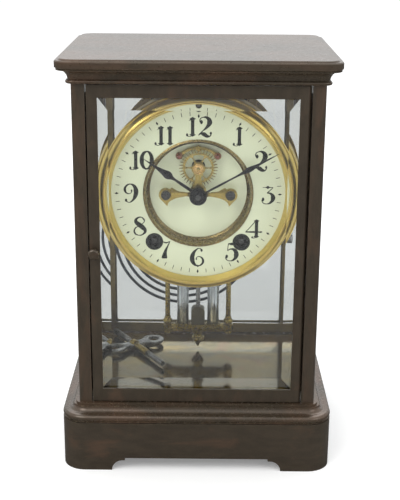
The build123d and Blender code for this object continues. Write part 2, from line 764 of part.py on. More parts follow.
def bridge_screws():
    """Two slotted screws that hold the bridge."""
    parts = []
    for x in (-EAR_X, EAR_X):
        screw = disc(2.8, BRIDGE_Y - 1.3, BRIDGE_Y)
        screw += disc(BRIDGE_SCREW_R, BRIDGE_Y, BRIDGE_Y + 6.0)
        screw -= box(-3, 3, BRIDGE_Y - 2, BRIDGE_Y - 0.9, -0.3, 0.3)
        parts.append(Pos(x, 0, DIAL_Z - EAR_DROP) * screw)
    return parts


# ---- movement ----
def movement_plate(front):
    """Round movement plate with every pivot hole."""
    body = disc(PLATE_R, front, front + PLATE_T, 0, DIAL_Z)
    for x, z, r in PIVOTS:
        body -= disc(r + RUN, front - 1, front + 3, x, DIAL_Z + z)
    for x, z in winding_spots():
        body -= disc(WINDER_R + RUN, front - 1, front + 3, x, z)
    for x, z in PLATE_POSTS:
        body -= disc(1.2, front - 1, front + 3, x, DIAL_Z + z)
    for x in HANGER_SCREWS:
        body -= disc(HANGER_SCREW_R, front - 1, front + 3, x, HANGER_SCREW_Z)
    return body


def front_plate():
    """Front movement plate with the stud of the minute wheel."""
    body = movement_plate(FRONT_PLATE_Y)
    return body + disc(STUD_R, -31.4, FRONT_PLATE_Y + 0.5, 0, DIAL_Z - MOTION_OFF)


def back_plate():
    """Back movement plate."""
    body = movement_plate(BACK_PLATE_Y)
    body -= disc(HAMMER_PIVOT_R + RUN, BACK_PLATE_Y - 1, BACK_PLATE_Y + 3, HAMMER_X, HAMMER_Z)
    return body


def plate_pillars():
    """Four turned pillars between the plates, riveted through both."""
    parts = []
    for x, z in PLATE_POSTS:
        body = disc(2.6, FRONT_PLATE_Y + PLATE_T, BACK_PLATE_Y)
        body += disc(1.2, FRONT_PLATE_Y, BACK_PLATE_Y + PLATE_T)
        parts.append(Pos(x, 0, DIAL_Z + z) * body)
    return parts


def movement_hanger():
    """Steel yoke that hangs the two plates from the cornice."""
    front = FRONT_PLATE_Y + PLATE_T
    body = box(-30, 30, front, BACK_PLATE_Y, HEAD_Z - 2, HEAD_Z)
    for x0, x1 in ((-28, -14), (14, 28)):
        body += box(x0, x1, front, front + 1.8, DIAL_Z + 36, HEAD_Z)
        body += box(x0, x1, BACK_PLATE_Y - 1.8, BACK_PLATE_Y, DIAL_Z + 36, HEAD_Z)
    for x in HANGER_SCREWS:
        body -= disc(HANGER_SCREW_R, front - 1, BACK_PLATE_Y + 1, x, HANGER_SCREW_Z)
    for x in HANGER_BOLTS:
        body -= post(HANGER_BOLT_R, x, HANGER_MID, HEAD_Z - 3, HEAD_Z + 1)
    return body


def hanger_screws():
    """Four screws through the plates and two bolts up into the cornice."""
    parts = []
    front = FRONT_PLATE_Y
    back = BACK_PLATE_Y + PLATE_T
    for x in HANGER_SCREWS:
        screw = disc(2.4, front - 1.2, front, x, HANGER_SCREW_Z)
        parts.append(screw + disc(HANGER_SCREW_R, front, front + PLATE_T + 1.8, x, HANGER_SCREW_Z))
        screw = disc(2.4, back, back + 1.2, x, HANGER_SCREW_Z)
        parts.append(screw + disc(HANGER_SCREW_R, back - PLATE_T - 1.8, back, x, HANGER_SCREW_Z))
    for x in HANGER_BOLTS:
        bolt = post(3.0, x, HANGER_MID, HEAD_Z - 4, HEAD_Z - 2)
        parts.append(bolt + post(HANGER_BOLT_R, x, HANGER_MID, HEAD_Z - 2, HEAD_Z + 5))
    return parts


def barrel(x, z):
    """Toothed barrel with a lid, hollow for its mainspring."""
    body = tube(BARREL_R, BARREL_R - 0.9, BARREL_FRONT, BARREL_BACK, x, z)
    bore = WINDER_R + RUN
    body += tube(BARREL_R, bore, BARREL_FRONT, BARREL_FRONT + 0.9, x, z)
    teeth = toothed(BARREL_TEETH, BARREL_TIP, BARREL_TIP - 1.5) - Circle(bore)
    body += Pos(x, 0, z) * slab(teeth, BARREL_BACK - 2.0, BARREL_BACK)
    return body


def mainspring(x, z):
    """Coiled mainspring, drawn as the ring that it fills."""
    return tube(BARREL_R - 1.1, 6.0, BARREL_FRONT + 1.2, BARREL_BACK - 2.3, x, z)


def winding_arbor(x, z):
    """Winding arbor with its square end and its ratchet wheel."""
    body = disc(WINDER_R, RATCHET_Y - 2.0, BACK_PLATE_Y + PLATE_T)
    body += slab(Rectangle(SQUARE, SQUARE), SQUARE_Y, RATCHET_Y - 1.9)
    body += slab(toothed(24, 8.0, 7.0, 0.1, 0.3), RATCHET_Y, RATCHET_Y + 1.2)
    body += disc(3.6, BARREL_FRONT + 2, BARREL_BACK - 3)
    return Pos(x, 0, z) * body


def spring_clicks():
    """Two spring clicks on the front plate, each reaching to its ratchet."""
    parts = []
    for side in (-1, 1):
        x = side * WIND_X
        z = DIAL_Z - WIND_DROP
        foot = disc(2.0, RATCHET_Y, FRONT_PLATE_Y, x - side * 13.5, z - 4)
        foot += disc(1.2, RATCHET_Y, FRONT_PLATE_Y, x - side * 8.9, z + 2.4)
        arm = make_face(
            Polyline(
                (x - side * 14.6, z - 3),
                (x - side * 12.6, z - 4.6),
                (x - side * 8.4, z + 1.6),
                (x - side * 9.4, z + 3.2),
                close=True,
            )
        )
        parts.append(foot + slab(arm, RATCHET_Y, RATCHET_Y + 1.2))
    return parts


def train_wheel(tip, leaves_tip, teeth, wheel_y, pinion_front, pinion_back):
    """A crossed wheel and pinion on an arbor between the plates."""
    body = disc(THIN_R, FRONT_PLATE_Y, BACK_PLATE_Y + PLATE_T)
    body += slab(crossed(toothed(teeth, tip, tip - 0.9), tip - 2.4, 2.6, 1.4, 2), wheel_y, wheel_y + 1.0)
    body += slab(toothed(8, leaves_tip, leaves_tip - 0.7), pinion_front, pinion_back)
    return body


def intermediate_wheel():
    """Wheel between the time barrel and the centre pinion."""
    x, z = MIDDLE_AT
    return Pos(x, 0, DIAL_Z + z) * train_wheel(12.9, 2.85, 64, -2.6, -9.0, -5.0)


def third_wheel():
    """Wheel between the centre wheel and the escape pinion."""
    x, z = THIRD_AT
    return Pos(x, 0, DIAL_Z + z) * train_wheel(11.0, 1.9, 64, -20.0, -15.5, -11.0)


def strike_wheel():
    """Strike wheel with eight lifting pins, driven by the strike barrel."""
    x, z = STRIKE_AT
    body = train_wheel(12.0, 2.85, 64, -2.6, -9.0, -5.0)
    for n in range(8):
        px, pz = polar(10.6, 45.0 * n)
        body += disc(0.5, -1.8, 0.4, px, pz)
    return Pos(x, 0, DIAL_Z + z) * body


def fly():
    """Two-bladed fly that slows the striking."""
    x, z = FLY_AT
    body = disc(THIN_R, FRONT_PLATE_Y, BACK_PLATE_Y + PLATE_T)
    body += slab(toothed(7, 1.45, 1.0), -3.6, -0.6)
    body += box(-8.0, 8.0, -16.0, -6.0, -0.3, 0.3)
    return Pos(x, 0, DIAL_Z + z) * body


def regulator_arbor():
    """Thin squared arbor above twelve that raises the suspension."""
    body = disc(REGULATOR_R, DIAL_Y + 3.0, BACK_PLATE_Y + PLATE_T)
    body += slab(Rectangle(1.5, 1.5), DIAL_Y - 0.6, DIAL_Y + 3.0)
    body += slab(toothed(10, 2.6, 1.9), BACK_PLATE_Y - 4, BACK_PLATE_Y - 1)
    return Pos(0, 0, DIAL_Z + REGULATOR_RISE) * body


# ---- pendulum ----
def suspension_cock():
    """Bracket on the back plate, slotted for the suspension spring."""
    front = BACK_PLATE_Y + PLATE_T
    body = box(-5, 5, front, PENDULUM_Y + 4, PIVOT_Z + 2.4, PIVOT_Z + 7)
    body += box(-8, 8, front, front + 1.6, PIVOT_Z + 2.4, PIVOT_Z + 12)
    body -= box(-0.8, 0.8, PENDULUM_Y - 4, PENDULUM_Y + 5, PIVOT_Z + 2, PIVOT_Z + 5.4)
    return body


def pendulum_rod():
    """Steel rod with its suspension spring and top hook."""
    y = PENDULUM_Y
    body = post(ROD_R, 0, y, BAR_LOW + 11.0, PIVOT_Z - 4.0)
    body += box(-0.12, 0.12, y - 2.4, y + 2.4, PIVOT_Z - 4.6, PIVOT_Z + 4.6)
    body += box(-1.6, 1.6, y - 2.8, y + 2.8, PIVOT_Z - 7.0, PIVOT_Z - 3.4)
    return body


def pendulum_frame():
    """Brass frame: two columns with ball feet between an upper and a lower bar."""
    y = PENDULUM_Y
    body = Part()
    for low, high in ((BAR_LOW, BAR_LOW + 4.6), (BAR_HIGH, BAR_HIGH + 4.0)):
        bar = box(-COLUMN_X, COLUMN_X, y - 2.6, y + 2.6, low, high)
        for x in (-COLUMN_X, COLUMN_X):
            bar += post(3.4, x, y, low, high)
        body += bar
    for x in (-COLUMN_X, COLUMN_X):
        body += post(1.7, x, y, BAR_LOW, BAR_HIGH + 1)
        body += turned_z(
            [
                (0, BAR_LOW + 4.5),
                (3.0, BAR_LOW + 4.5),
                (3.2, BAR_LOW + 6.6),
                (2.6, BAR_LOW + 8.4),
                (1.7, BAR_LOW + 9.6),
                (0, BAR_LOW + 9.6),
            ],
            x,
            y,
        )
        body += turned_z(
            [(0, BAR_LOW - 2.4), (2.0, BAR_LOW - 2.4), (2.6, BAR_LOW - 1.2), (2.0, BAR_LOW), (0, BAR_LOW)],
            x,
            y,
        )
    body -= post(ROD_R + 0.1, 0, y, BAR_HIGH - 1, BAR_HIGH + 5)
    body -= post(NUT_SCREW_R + RUN, 0, y, BAR_LOW - 1, BAR_LOW + 6)
    for x in (-JAR_X, JAR_X):
        body -= post(JAR_R + 0.05, x, y, BAR_LOW + 3.4, BAR_HIGH + 1.2)
    return body


def rod_socket():
    """Dark block with rounded shoulders that joins the rod to the lower bar."""
    y = PENDULUM_Y
    low = BAR_LOW + 4.6
    body = box(-4.5, 4.5, y - 3.0, y + 3.0, low, low + 12.4)
    shoulders = [
        edge
        for edge in body.edges().filter_by(Axis.Y)
        if edge.center().Z > low + 12
    ]
    body = fillet(shoulders, 3.0)
    body -= post(ROD_R, 0, y, BAR_LOW + 11.0, low + 14)
    body -= post(NUT_SCREW_R + RUN, 0, y, low - 1, BAR_LOW + 10.6)
    return body


def pendulum_jars():
    """Two closed glass jars."""
    parts = []
    for x in (-JAR_X, JAR_X):
        body = post(JAR_R, x, PENDULUM_Y, BAR_LOW + 3.4, BAR_HIGH + 1.2)
        parts.append(body - post(JAR_R - 0.7, x, PENDULUM_Y, BAR_LOW + 4.8, BAR_HIGH))
    return parts


def mercury():
    """Mercury filling the lower part of the jars."""
    return [
        post(JAR_R - 0.75, x, PENDULUM_Y, BAR_LOW + 4.85, BAR_LOW + JAR_FILL)
        for x in (-JAR_X, JAR_X)
    ]


def rating_nut():
    """Rating nut under the lower bar, ending in an acorn finial."""
    low = FLOOR_Z + 2.0
    return turned_z(
        [
            (0, BAR_LOW + 10.4),
            (NUT_SCREW_R, BAR_LOW + 10.4),
            (NUT_SCREW_R, BAR_LOW - 0.3),
            (3.6, BAR_LOW - 0.3),
            (3.6, BAR_LOW - 1.3),
            (2.9, BAR_LOW - 1.6),
            (2.9, BAR_LOW - 4.2),
            (4.3, BAR_LOW - 4.8),
            (4.4, BAR_LOW - 5.8),
            (3.2, BAR_LOW - 7.4),
            (1.0, BAR_LOW - 9.6),
            (0, low),
        ],
        0,
        PENDULUM_Y,
    )


# ---- gong and hammer ----
def gong():
    """Flat steel coil of half turns about two centres, with a straight inner end."""
    body = Part()
    radius = GONG_R
    shift = 0.0
    step = GONG_PITCH / 2
    for half in range(2 * GONG_TURNS):
        turn = 180.0 * (half % 2)
        section = Plane((radius, 0, 0), x_dir=(1, 0, 0), z_dir=(0, 0, 1)) * Circle(GONG_WIRE)
        piece = revolve(section, Axis.Y, revolution_arc=180)
        body += Pos(shift, 0, 0) * Rot(0, turn, 0) * piece
        radius -= step
        shift += step if half % 2 else -step
    inner = radius + shift
    span = inner - GONG_BLOCK / 2 + 1.0
    lead = Plane((inner, 0, 0), x_dir=(0, 1, 0), z_dir=(-1, 0, 0)) * Circle(GONG_WIRE)
    body += extrude(lead, amount=span)
    return Pos(GONG_X, GONG_Y, GONG_Z) * body


def gong_stand():
    """Iron arm from the back plate with the block that clamps the gong."""
    front = BACK_PLATE_Y + PLATE_T
    body = box(GONG_X - 2, GONG_X + 2, front, GONG_Y + 2, GONG_ARM_Z - 2, GONG_ARM_Z + 2)
    body += box(GONG_X - 5, GONG_X + 5, front, front + 1.8, GONG_ARM_Z - 5, GONG_ARM_Z + 5)
    body += box(GONG_X - 2, GONG_X + 2, GONG_Y - 2, GONG_Y + 2, GONG_Z, GONG_ARM_Z + 2)
    block = GONG_BLOCK / 2
    body += box(GONG_X - block, GONG_X + block, GONG_Y - 3, GONG_Y + 3, GONG_Z - block, GONG_Z + block)
    return body - gong()


def hammer():
    """Strike hammer: arbor, stem and a round head beside the gong."""
    head_x = GONG_X + GONG_R + GONG_WIRE + 0.5
    body = disc(HAMMER_PIVOT_R, BACK_PLATE_Y, GONG_Y + 2, HAMMER_X, HAMMER_Z)
    body += disc(2.4, BACK_PLATE_Y + PLATE_T + 0.2, BACK_PLATE_Y + PLATE_T + 3.2, HAMMER_X, HAMMER_Z)
    body += post(1.0, HAMMER_X, GONG_Y, GONG_Z, HAMMER_Z)
    head = Plane((head_x, GONG_Y, GONG_Z), x_dir=(0, 1, 0), z_dir=(1, 0, 0)) * Circle(3.2)
    return body + extrude(head, amount=8.0)


# ---- winding key ----
def winding_key():
    """Double-ended key: hollow steel ends, brass sleeve, boss and a pierced butterfly."""
    pieces = Part()
    for r, start, stop in (
        (1.9, 0, 22),
        (2.35, 22, KEY_WING),
        (KEY_R, KEY_WING - 2.5, KEY_WING + 2.5),
        (2.1, KEY_WING, KEY_LENGTH),
    ):
        pieces += Pos(0, (start + stop) / 2, 0) * Rot(90, 0, 0) * Cylinder(r, stop - start)
    pieces -= box(-1.0, 1.0, -1, 10, -1.0, 1.0)
    bore = SQUARE / 2 + FIT
    pieces -= box(-bore, bore, KEY_LENGTH - 9, KEY_LENGTH + 1, -bore, bore)
    wings = Pos(0, KEY_WING) * Rectangle(30, 7)
    for side in (-1, 1):
        wings += Pos(side * 14.5, KEY_WING) * Circle(7.2)
    for side in (-1, 1):
        wings -= Pos(side * 15.0, KEY_WING) * Circle(3.4)
    plate = extrude(wings, amount=1.1, both=True)
    turn = Pos(KEY_X, KEY_Y, FLOOR_Z + KEY_R + 0.05) * Rot(0, 0, KEY_TURN)
    return turn * (pieces + plate)


# ---- assembly ----
def write(name, shape):
    """Write one named piece, or one group of like pieces."""
    if isinstance(shape, list):
        shape = Compound(children=[piece.solid() for piece in shape])
    export_step(shape, os.path.join("parts", name + ".step"))


def main():
    """Build every piece of the clock."""
    os.makedirs("parts", exist_ok=True)
    write("plinth", plinth())
    write("base_moulding", base_moulding())
    write("floor_plate", floor_plate())
    write("pillars", [pillar(x, y) for x, y in pillar_spots()])
    write("pillar_screws", pillar_screws())
    write("cornice", cornice())
    write("cap", cap())
    half_turn = Rot(0, 0, 180)
    for name, shape in door().items():
        write("front_door_" + name, shape)
        write("back_door_" + name, half_turn * shape)
    frame, glass = side_panel()
    write("side_frame_right", frame)
    write("side_glass_right", glass)
    write("side_frame_left", half_turn * frame)
    write("side_glass_left", half_turn * glass)
    for make in (
        dial_pan,
        bezel,
        dial_ring,
        recess_ring,
        dial_centre,
        winding_grommets,
        hour_hand,
        minute_hand,
        hand_collet,
        centre_arbor,
        hour_wheel,
        minute_wheel,
        escape_wheel,
        anchor,
        pallet_pins,
        escape_bridge,
        front_plate,
        back_plate,
        plate_pillars,
        movement_hanger,
        spring_clicks,
        intermediate_wheel,
        third_wheel,
        strike_wheel,
        fly,
        regulator_arbor,
        suspension_cock,
        pendulum_rod,
        pendulum_frame,
        rod_socket,
        pendulum_jars,
        mercury,
        rating_nut,
        gong,
        gong_stand,
        hammer,
        winding_key,
    ):
        write(make.__name__, make())
    for name, (x, z) in zip(("time", "strike"), winding_spots()):
        write(name + "_barrel", barrel(x, z))
        write(name + "_winding_arbor", winding_arbor(x, z))
    write("movement_screws", bridge_screws() + hanger_screws())
    write("mainsprings", [mainspring(x, z) for x, z in winding_spots()])


if __name__ == "__main__":
    main()
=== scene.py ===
"""Finish and fine pieces of a four-glass mantel clock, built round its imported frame.

Metres throughout. +Z is up and the front faces -Y. Sizes inside the functions are in millimetres.
"""
from math import cos, pi, radians, sin

import bpy
from mathutils import Euler, Matrix, Vector


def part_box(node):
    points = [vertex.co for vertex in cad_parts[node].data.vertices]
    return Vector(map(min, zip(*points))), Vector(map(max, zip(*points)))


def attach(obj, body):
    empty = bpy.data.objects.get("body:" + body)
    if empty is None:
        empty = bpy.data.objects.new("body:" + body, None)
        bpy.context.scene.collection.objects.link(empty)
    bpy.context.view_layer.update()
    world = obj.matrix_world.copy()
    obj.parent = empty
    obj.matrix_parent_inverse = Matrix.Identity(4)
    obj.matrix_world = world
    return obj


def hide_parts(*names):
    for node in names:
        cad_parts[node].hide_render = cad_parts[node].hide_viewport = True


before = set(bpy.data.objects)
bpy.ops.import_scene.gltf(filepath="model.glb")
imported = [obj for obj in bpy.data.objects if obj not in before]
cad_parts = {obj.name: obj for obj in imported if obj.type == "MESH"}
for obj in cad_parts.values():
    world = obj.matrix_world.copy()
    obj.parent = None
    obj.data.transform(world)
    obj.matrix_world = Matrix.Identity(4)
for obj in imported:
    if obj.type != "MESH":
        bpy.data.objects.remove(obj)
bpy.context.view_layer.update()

bl_info = {
    "name": "Four-Glass Mantel Clock",
    "version": (1, 0, 0),
    "blender": (4, 5, 0),
    "location": "View3D > Sidebar > Clock",
    "description": "Builds the finish and the fine pieces of a four-glass mantel clock",
    "category": "Object",
}

MM = 0.001
FRONT = Euler((pi / 2, 0, 0)).to_matrix().to_4x4()


def low(node):
    """Lowest corner of a node of the frame, in millimetres."""
    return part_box(node)[0] / MM


def high(node):
    """Highest corner of a node of the frame, in millimetres."""
    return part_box(node)[1] / MM


def centre(node):
    """Middle of a node of the frame, in millimetres."""
    return (low(node) + high(node)) / 2


DIAL = centre("dial_ring")
DIAL_Y = low("dial_ring").y
ESCAPE = centre("escape_wheel")
PENDULUM = centre("pendulum_frame")

# Places and sizes inside the case, in millimetres.
STOP_WIDE = 0.75
STOP_DEEP = 1.2
STOP_SHORT = 8.0
DOOR_DEEP = 4.9
GONG_X = -10.0
GONG_Z = 113.4
GONG_RADIUS = 46.0
GONG_STEP = 2.3
GONG_HALF_TURNS = 8
HAMMER_X = 40.0
HAMMER_Z = 149.0
HAMMER_FACE = 37.5
KEY_SPOT = (-22.4, -7.8, 43.75)
KEY_ANGLE = 32
KEY_WINGS = 38.6
CAMERA_SPOT = (3.52, -647.79, 324.6)
CAMERA_LENS = 77.04


# ---- sizes and colours that a user may change ----
class ClockSizes(bpy.types.PropertyGroup):
    """Sizes of the fine pieces."""

    numeral_height: bpy.props.FloatProperty(
        name="Numeral height", description="Height of an hour numeral",
        default=0.0114, min=0.004, max=0.016, unit="LENGTH")
    numeral_radius: bpy.props.FloatProperty(
        name="Numeral circle", description="Radius of the circle that the numerals stand on",
        default=0.0396, min=0.03, max=0.045, unit="LENGTH")
    pen_weight: bpy.props.FloatProperty(
        name="Pen weight", description="How heavy the strokes of the numerals are",
        default=1.62, min=0.5, max=2.0)
    ink_depth: bpy.props.FloatProperty(
        name="Ink depth", description="How far the print stands on the enamel",
        default=0.00006, min=0.00001, max=0.0003, unit="LENGTH")
    track_radius: bpy.props.FloatProperty(
        name="Minute track", description="Radius of the middle of the minute strokes",
        default=0.0473, min=0.04, max=0.05, unit="LENGTH")
    tick_length: bpy.props.FloatProperty(
        name="Minute stroke", description="Length of a minute stroke",
        default=0.0024, min=0.0005, max=0.004, unit="LENGTH")
    hour_width: bpy.props.FloatProperty(
        name="Hour hand swell", description="Width of the hour hand at its swell",
        default=0.0047, min=0.002, max=0.008, unit="LENGTH")
    minute_width: bpy.props.FloatProperty(
        name="Minute hand leaf", description="Width of the minute hand at its leaf",
        default=0.0031, min=0.001, max=0.006, unit="LENGTH")
    gong_wire: bpy.props.FloatProperty(
        name="Gong wire", description="Radius of the gong wire",
        default=0.00099, min=0.0004, max=0.001, unit="LENGTH")


class ClockColours(bpy.types.PropertyGroup):
    """Colours of the finishes."""

    bronze: bpy.props.FloatVectorProperty(
        name="Bronze", description="Dark patina of the case",
        default=(0.066, 0.049, 0.032), size=3, min=0, max=1, subtype="COLOR")
    bronze_warm: bpy.props.FloatVectorProperty(
        name="Warm bronze", description="Reddish areas of the patina",
        default=(0.115, 0.064, 0.038), size=3, min=0, max=1, subtype="COLOR")
    # Painted on edges and specks: partly bare worn metal, partly a painted highlight along the edges.
    bronze_wear_and_sheen: bpy.props.FloatVectorProperty(
        name="Bronze wear and sheen", description="Metal on worn edges and painted edge highlight",
        default=(0.30, 0.25, 0.16), size=3, min=0, max=1, subtype="COLOR")
    brass: bpy.props.FloatVectorProperty(
        name="Brass", description="Bright brass of the bezel",
        default=(0.80, 0.60, 0.17), size=3, min=0, max=1, subtype="COLOR")
    brass_aged: bpy.props.FloatVectorProperty(
        name="Aged brass", description="Dull brass of the recess and the movement",
        default=(0.36, 0.27, 0.11), size=3, min=0, max=1, subtype="COLOR")
    enamel: bpy.props.FloatVectorProperty(
        name="Enamel", description="Cream of the dial",
        default=(0.79, 0.83, 0.58), size=3, min=0, max=1, subtype="COLOR")
    ink: bpy.props.FloatVectorProperty(
        name="Ink", description="Print on the dial",
        default=(0.005, 0.007, 0.005), size=3, min=0, max=1, subtype="COLOR")
    blued: bpy.props.FloatVectorProperty(
        name="Blued steel", description="Hands and collet",
        default=(0.008, 0.009, 0.013), size=3, min=0, max=1, subtype="COLOR")
    steel: bpy.props.FloatVectorProperty(
        name="Steel", description="Bright steel pieces",
        default=(0.42, 0.42, 0.41), size=3, min=0, max=1, subtype="COLOR")
    gong: bpy.props.FloatVectorProperty(
        name="Gong steel", description="Blue-grey wire of the gong",
        default=(0.055, 0.065, 0.085), size=3, min=0, max=1, subtype="COLOR")
    iron: bpy.props.FloatVectorProperty(
        name="Black iron", description="Dark dish and blocks",
        default=(0.014, 0.014, 0.014), size=3, min=0, max=1, subtype="COLOR")
    jewel: bpy.props.FloatVectorProperty(
        name="Pallet jewel", description="Red-brown pallet stones",
        default=(0.20, 0.035, 0.018), size=3, min=0, max=1, subtype="COLOR")


# ---- modelling in code ----
def rest():
    """Leave edit mode with nothing selected."""
    if bpy.context.object and bpy.context.object.mode != "OBJECT":
        bpy.ops.object.mode_set(mode="OBJECT")
    bpy.ops.object.select_all(action="DESELECT")


def take(obj):
    """Make one object the selected and active one."""
    rest()
    obj.select_set(True)
    bpy.context.view_layer.objects.active = obj
    return obj


def edit(obj):
    """Enter edit mode on one object with all of it selected."""
    take(obj)
    bpy.ops.object.mode_set(mode="EDIT")
    bpy.ops.mesh.select_all(action="SELECT")


def tidy(obj, angle=35.0):
    """Merge doubles, point the faces outwards and smooth them up to an angle."""
    edit(obj)
    bpy.ops.mesh.remove_doubles(threshold=0.0005 * MM)
    bpy.ops.mesh.normals_make_consistent(inside=False)
    bpy.ops.object.mode_set(mode="OBJECT")
    bpy.ops.object.shade_smooth_by_angle(angle=radians(angle))
    return obj


def place(obj, matrix):
    """Move a mesh by a matrix and leave its object at the origin."""
    take(obj)
    obj.matrix_world = matrix @ obj.matrix_world
    bpy.ops.object.transform_apply(location=True, rotation=True, scale=True)
    return obj


def chain(name, points, closed):
    """Extrude one vertex from point to point, in millimetres."""
    spots = [Vector(point) * MM for point in points]
    rest()
    bpy.ops.mesh.primitive_plane_add(size=MM, location=spots[0])
    obj = bpy.context.object
    obj.name = name
    bpy.ops.object.transform_apply(location=True, rotation=True, scale=True)
    edit(obj)
    bpy.ops.mesh.merge(type="CENTER")
    if closed:
        spots.append(spots[0])
    for start, stop in zip(spots, spots[1:]):
        bpy.ops.mesh.extrude_vertices_move(TRANSFORM_OT_translate={"value": stop - start})
    return obj


def lathe(name, profile, at, axis="Y", steps=96, closed=False, angle=35.0):
    """Turn (radius, height) points about an axis through a point."""
    if axis == "Y":
        points = [(at[0] + r, h, at[2]) for r, h in profile]
        around = (0, 1, 0)
    else:
        points = [(at[0] + r, at[1], h) for r, h in profile]
        around = (0, 0, 1)
    obj = chain(name, points, closed)
    bpy.ops.mesh.select_all(action="SELECT")
    bpy.ops.mesh.spin(steps=steps, angle=2 * pi, center=Vector(at) * MM, axis=around)
    return tidy(obj, angle)


def plate(name, loops, thick, edge, matrix):
    """A plate cut to closed outlines, with softened edges. A point with a third value is a corner."""
    rest()
    bpy.ops.curve.primitive_bezier_circle_add(radius=MM)
    obj = bpy.context.object
    obj.name = name
    curve = obj.data
    curve.dimensions = "2D"
    curve.fill_mode = "BOTH"
    curve.resolution_u = 6
    curve.splines.clear()
    for loop in loops:
        spline = curve.splines.new("BEZIER")
        spline.bezier_points.add(len(loop) - 1)
        spline.use_cyclic_u = True
        for knot, point in zip(spline.bezier_points, loop):
            knot.co = (point[0] * MM, point[1] * MM, 0)
            kind = "VECTOR" if len(point) == 3 else "AUTO"
            knot.handle_left_type = kind
            knot.handle_right_type = kind
    curve.extrude = (thick / 2 - edge) * MM
    curve.bevel_depth = edge * MM
    curve.bevel_resolution = 1
    curve.offset = -edge * MM
    bpy.ops.object.convert(target="MESH")
    place(obj, matrix)
    return tidy(obj, 30.0)


def block(name, corner, far, soft):
    """A block between two corners with softened edges."""
    size = [(b - a) * MM for a, b in zip(corner, far)]
    middle = [(a + b) / 2 * MM for a, b in zip(corner, far)]
    rest()
    bpy.ops.mesh.primitive_cube_add(size=1, location=middle, scale=size)
    obj = bpy.context.object
    obj.name = name
    bpy.ops.object.transform_apply(location=True, rotation=True, scale=True)
    edit(obj)
    bpy.ops.mesh.bevel(offset=soft * MM, segments=2, affect="EDGES")
    return tidy(obj, 50.0)


def join(name, parts):
    """Join pieces into the first one."""
    rest()
    for part in parts:
        part.select_set(True)
    bpy.context.view_layer.objects.active = parts[0]
    bpy.ops.object.join()
    parts[0].name = name
    return parts[0]


def copy(obj, matrix):
    """A copy with its own mesh, moved by a matrix."""
    take(obj)
    bpy.ops.object.duplicate(linked=False)
    return place(bpy.context.object, matrix)


def circle(x, z, r, count=12):
    """A round outline."""
    return [(x + r * cos(2 * pi * n / count), z + r * sin(2 * pi * n / count)) for n in range(count)]


def arc(x, z, r, start, stop, count):
    """Points on an arc between two angles in degrees."""
    step = (stop - start) / (count - 1)
    turns = [radians(start + n * step) for n in range(count)]
    return [(x + r * cos(turn), z + r * sin(turn)) for turn in turns]


def polar(r, degrees):
    """A point at an angle from +X."""
    return (r * cos(radians(degrees)), r * sin(radians(degrees)))


def mirrored(points):
    """The same points on the other side of the middle line, in reverse order."""
    return [(-point[0], *point[1:]) for point in reversed(points)]


def settle(obj, body, material, slot, *nodes):
    """Give a new piece its finish and its body, and hide the nodes that it stands for."""
    obj.data.name = obj.name
    obj.data.materials.clear()
    obj.data.materials.append(material)
    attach(obj, body)
    if nodes:
        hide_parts(*nodes)
    return obj


def dress(material, *nodes):
    """Give nodes of the frame their finish."""
    for node in nodes:
        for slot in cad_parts[node].material_slots:
            slot.material = material


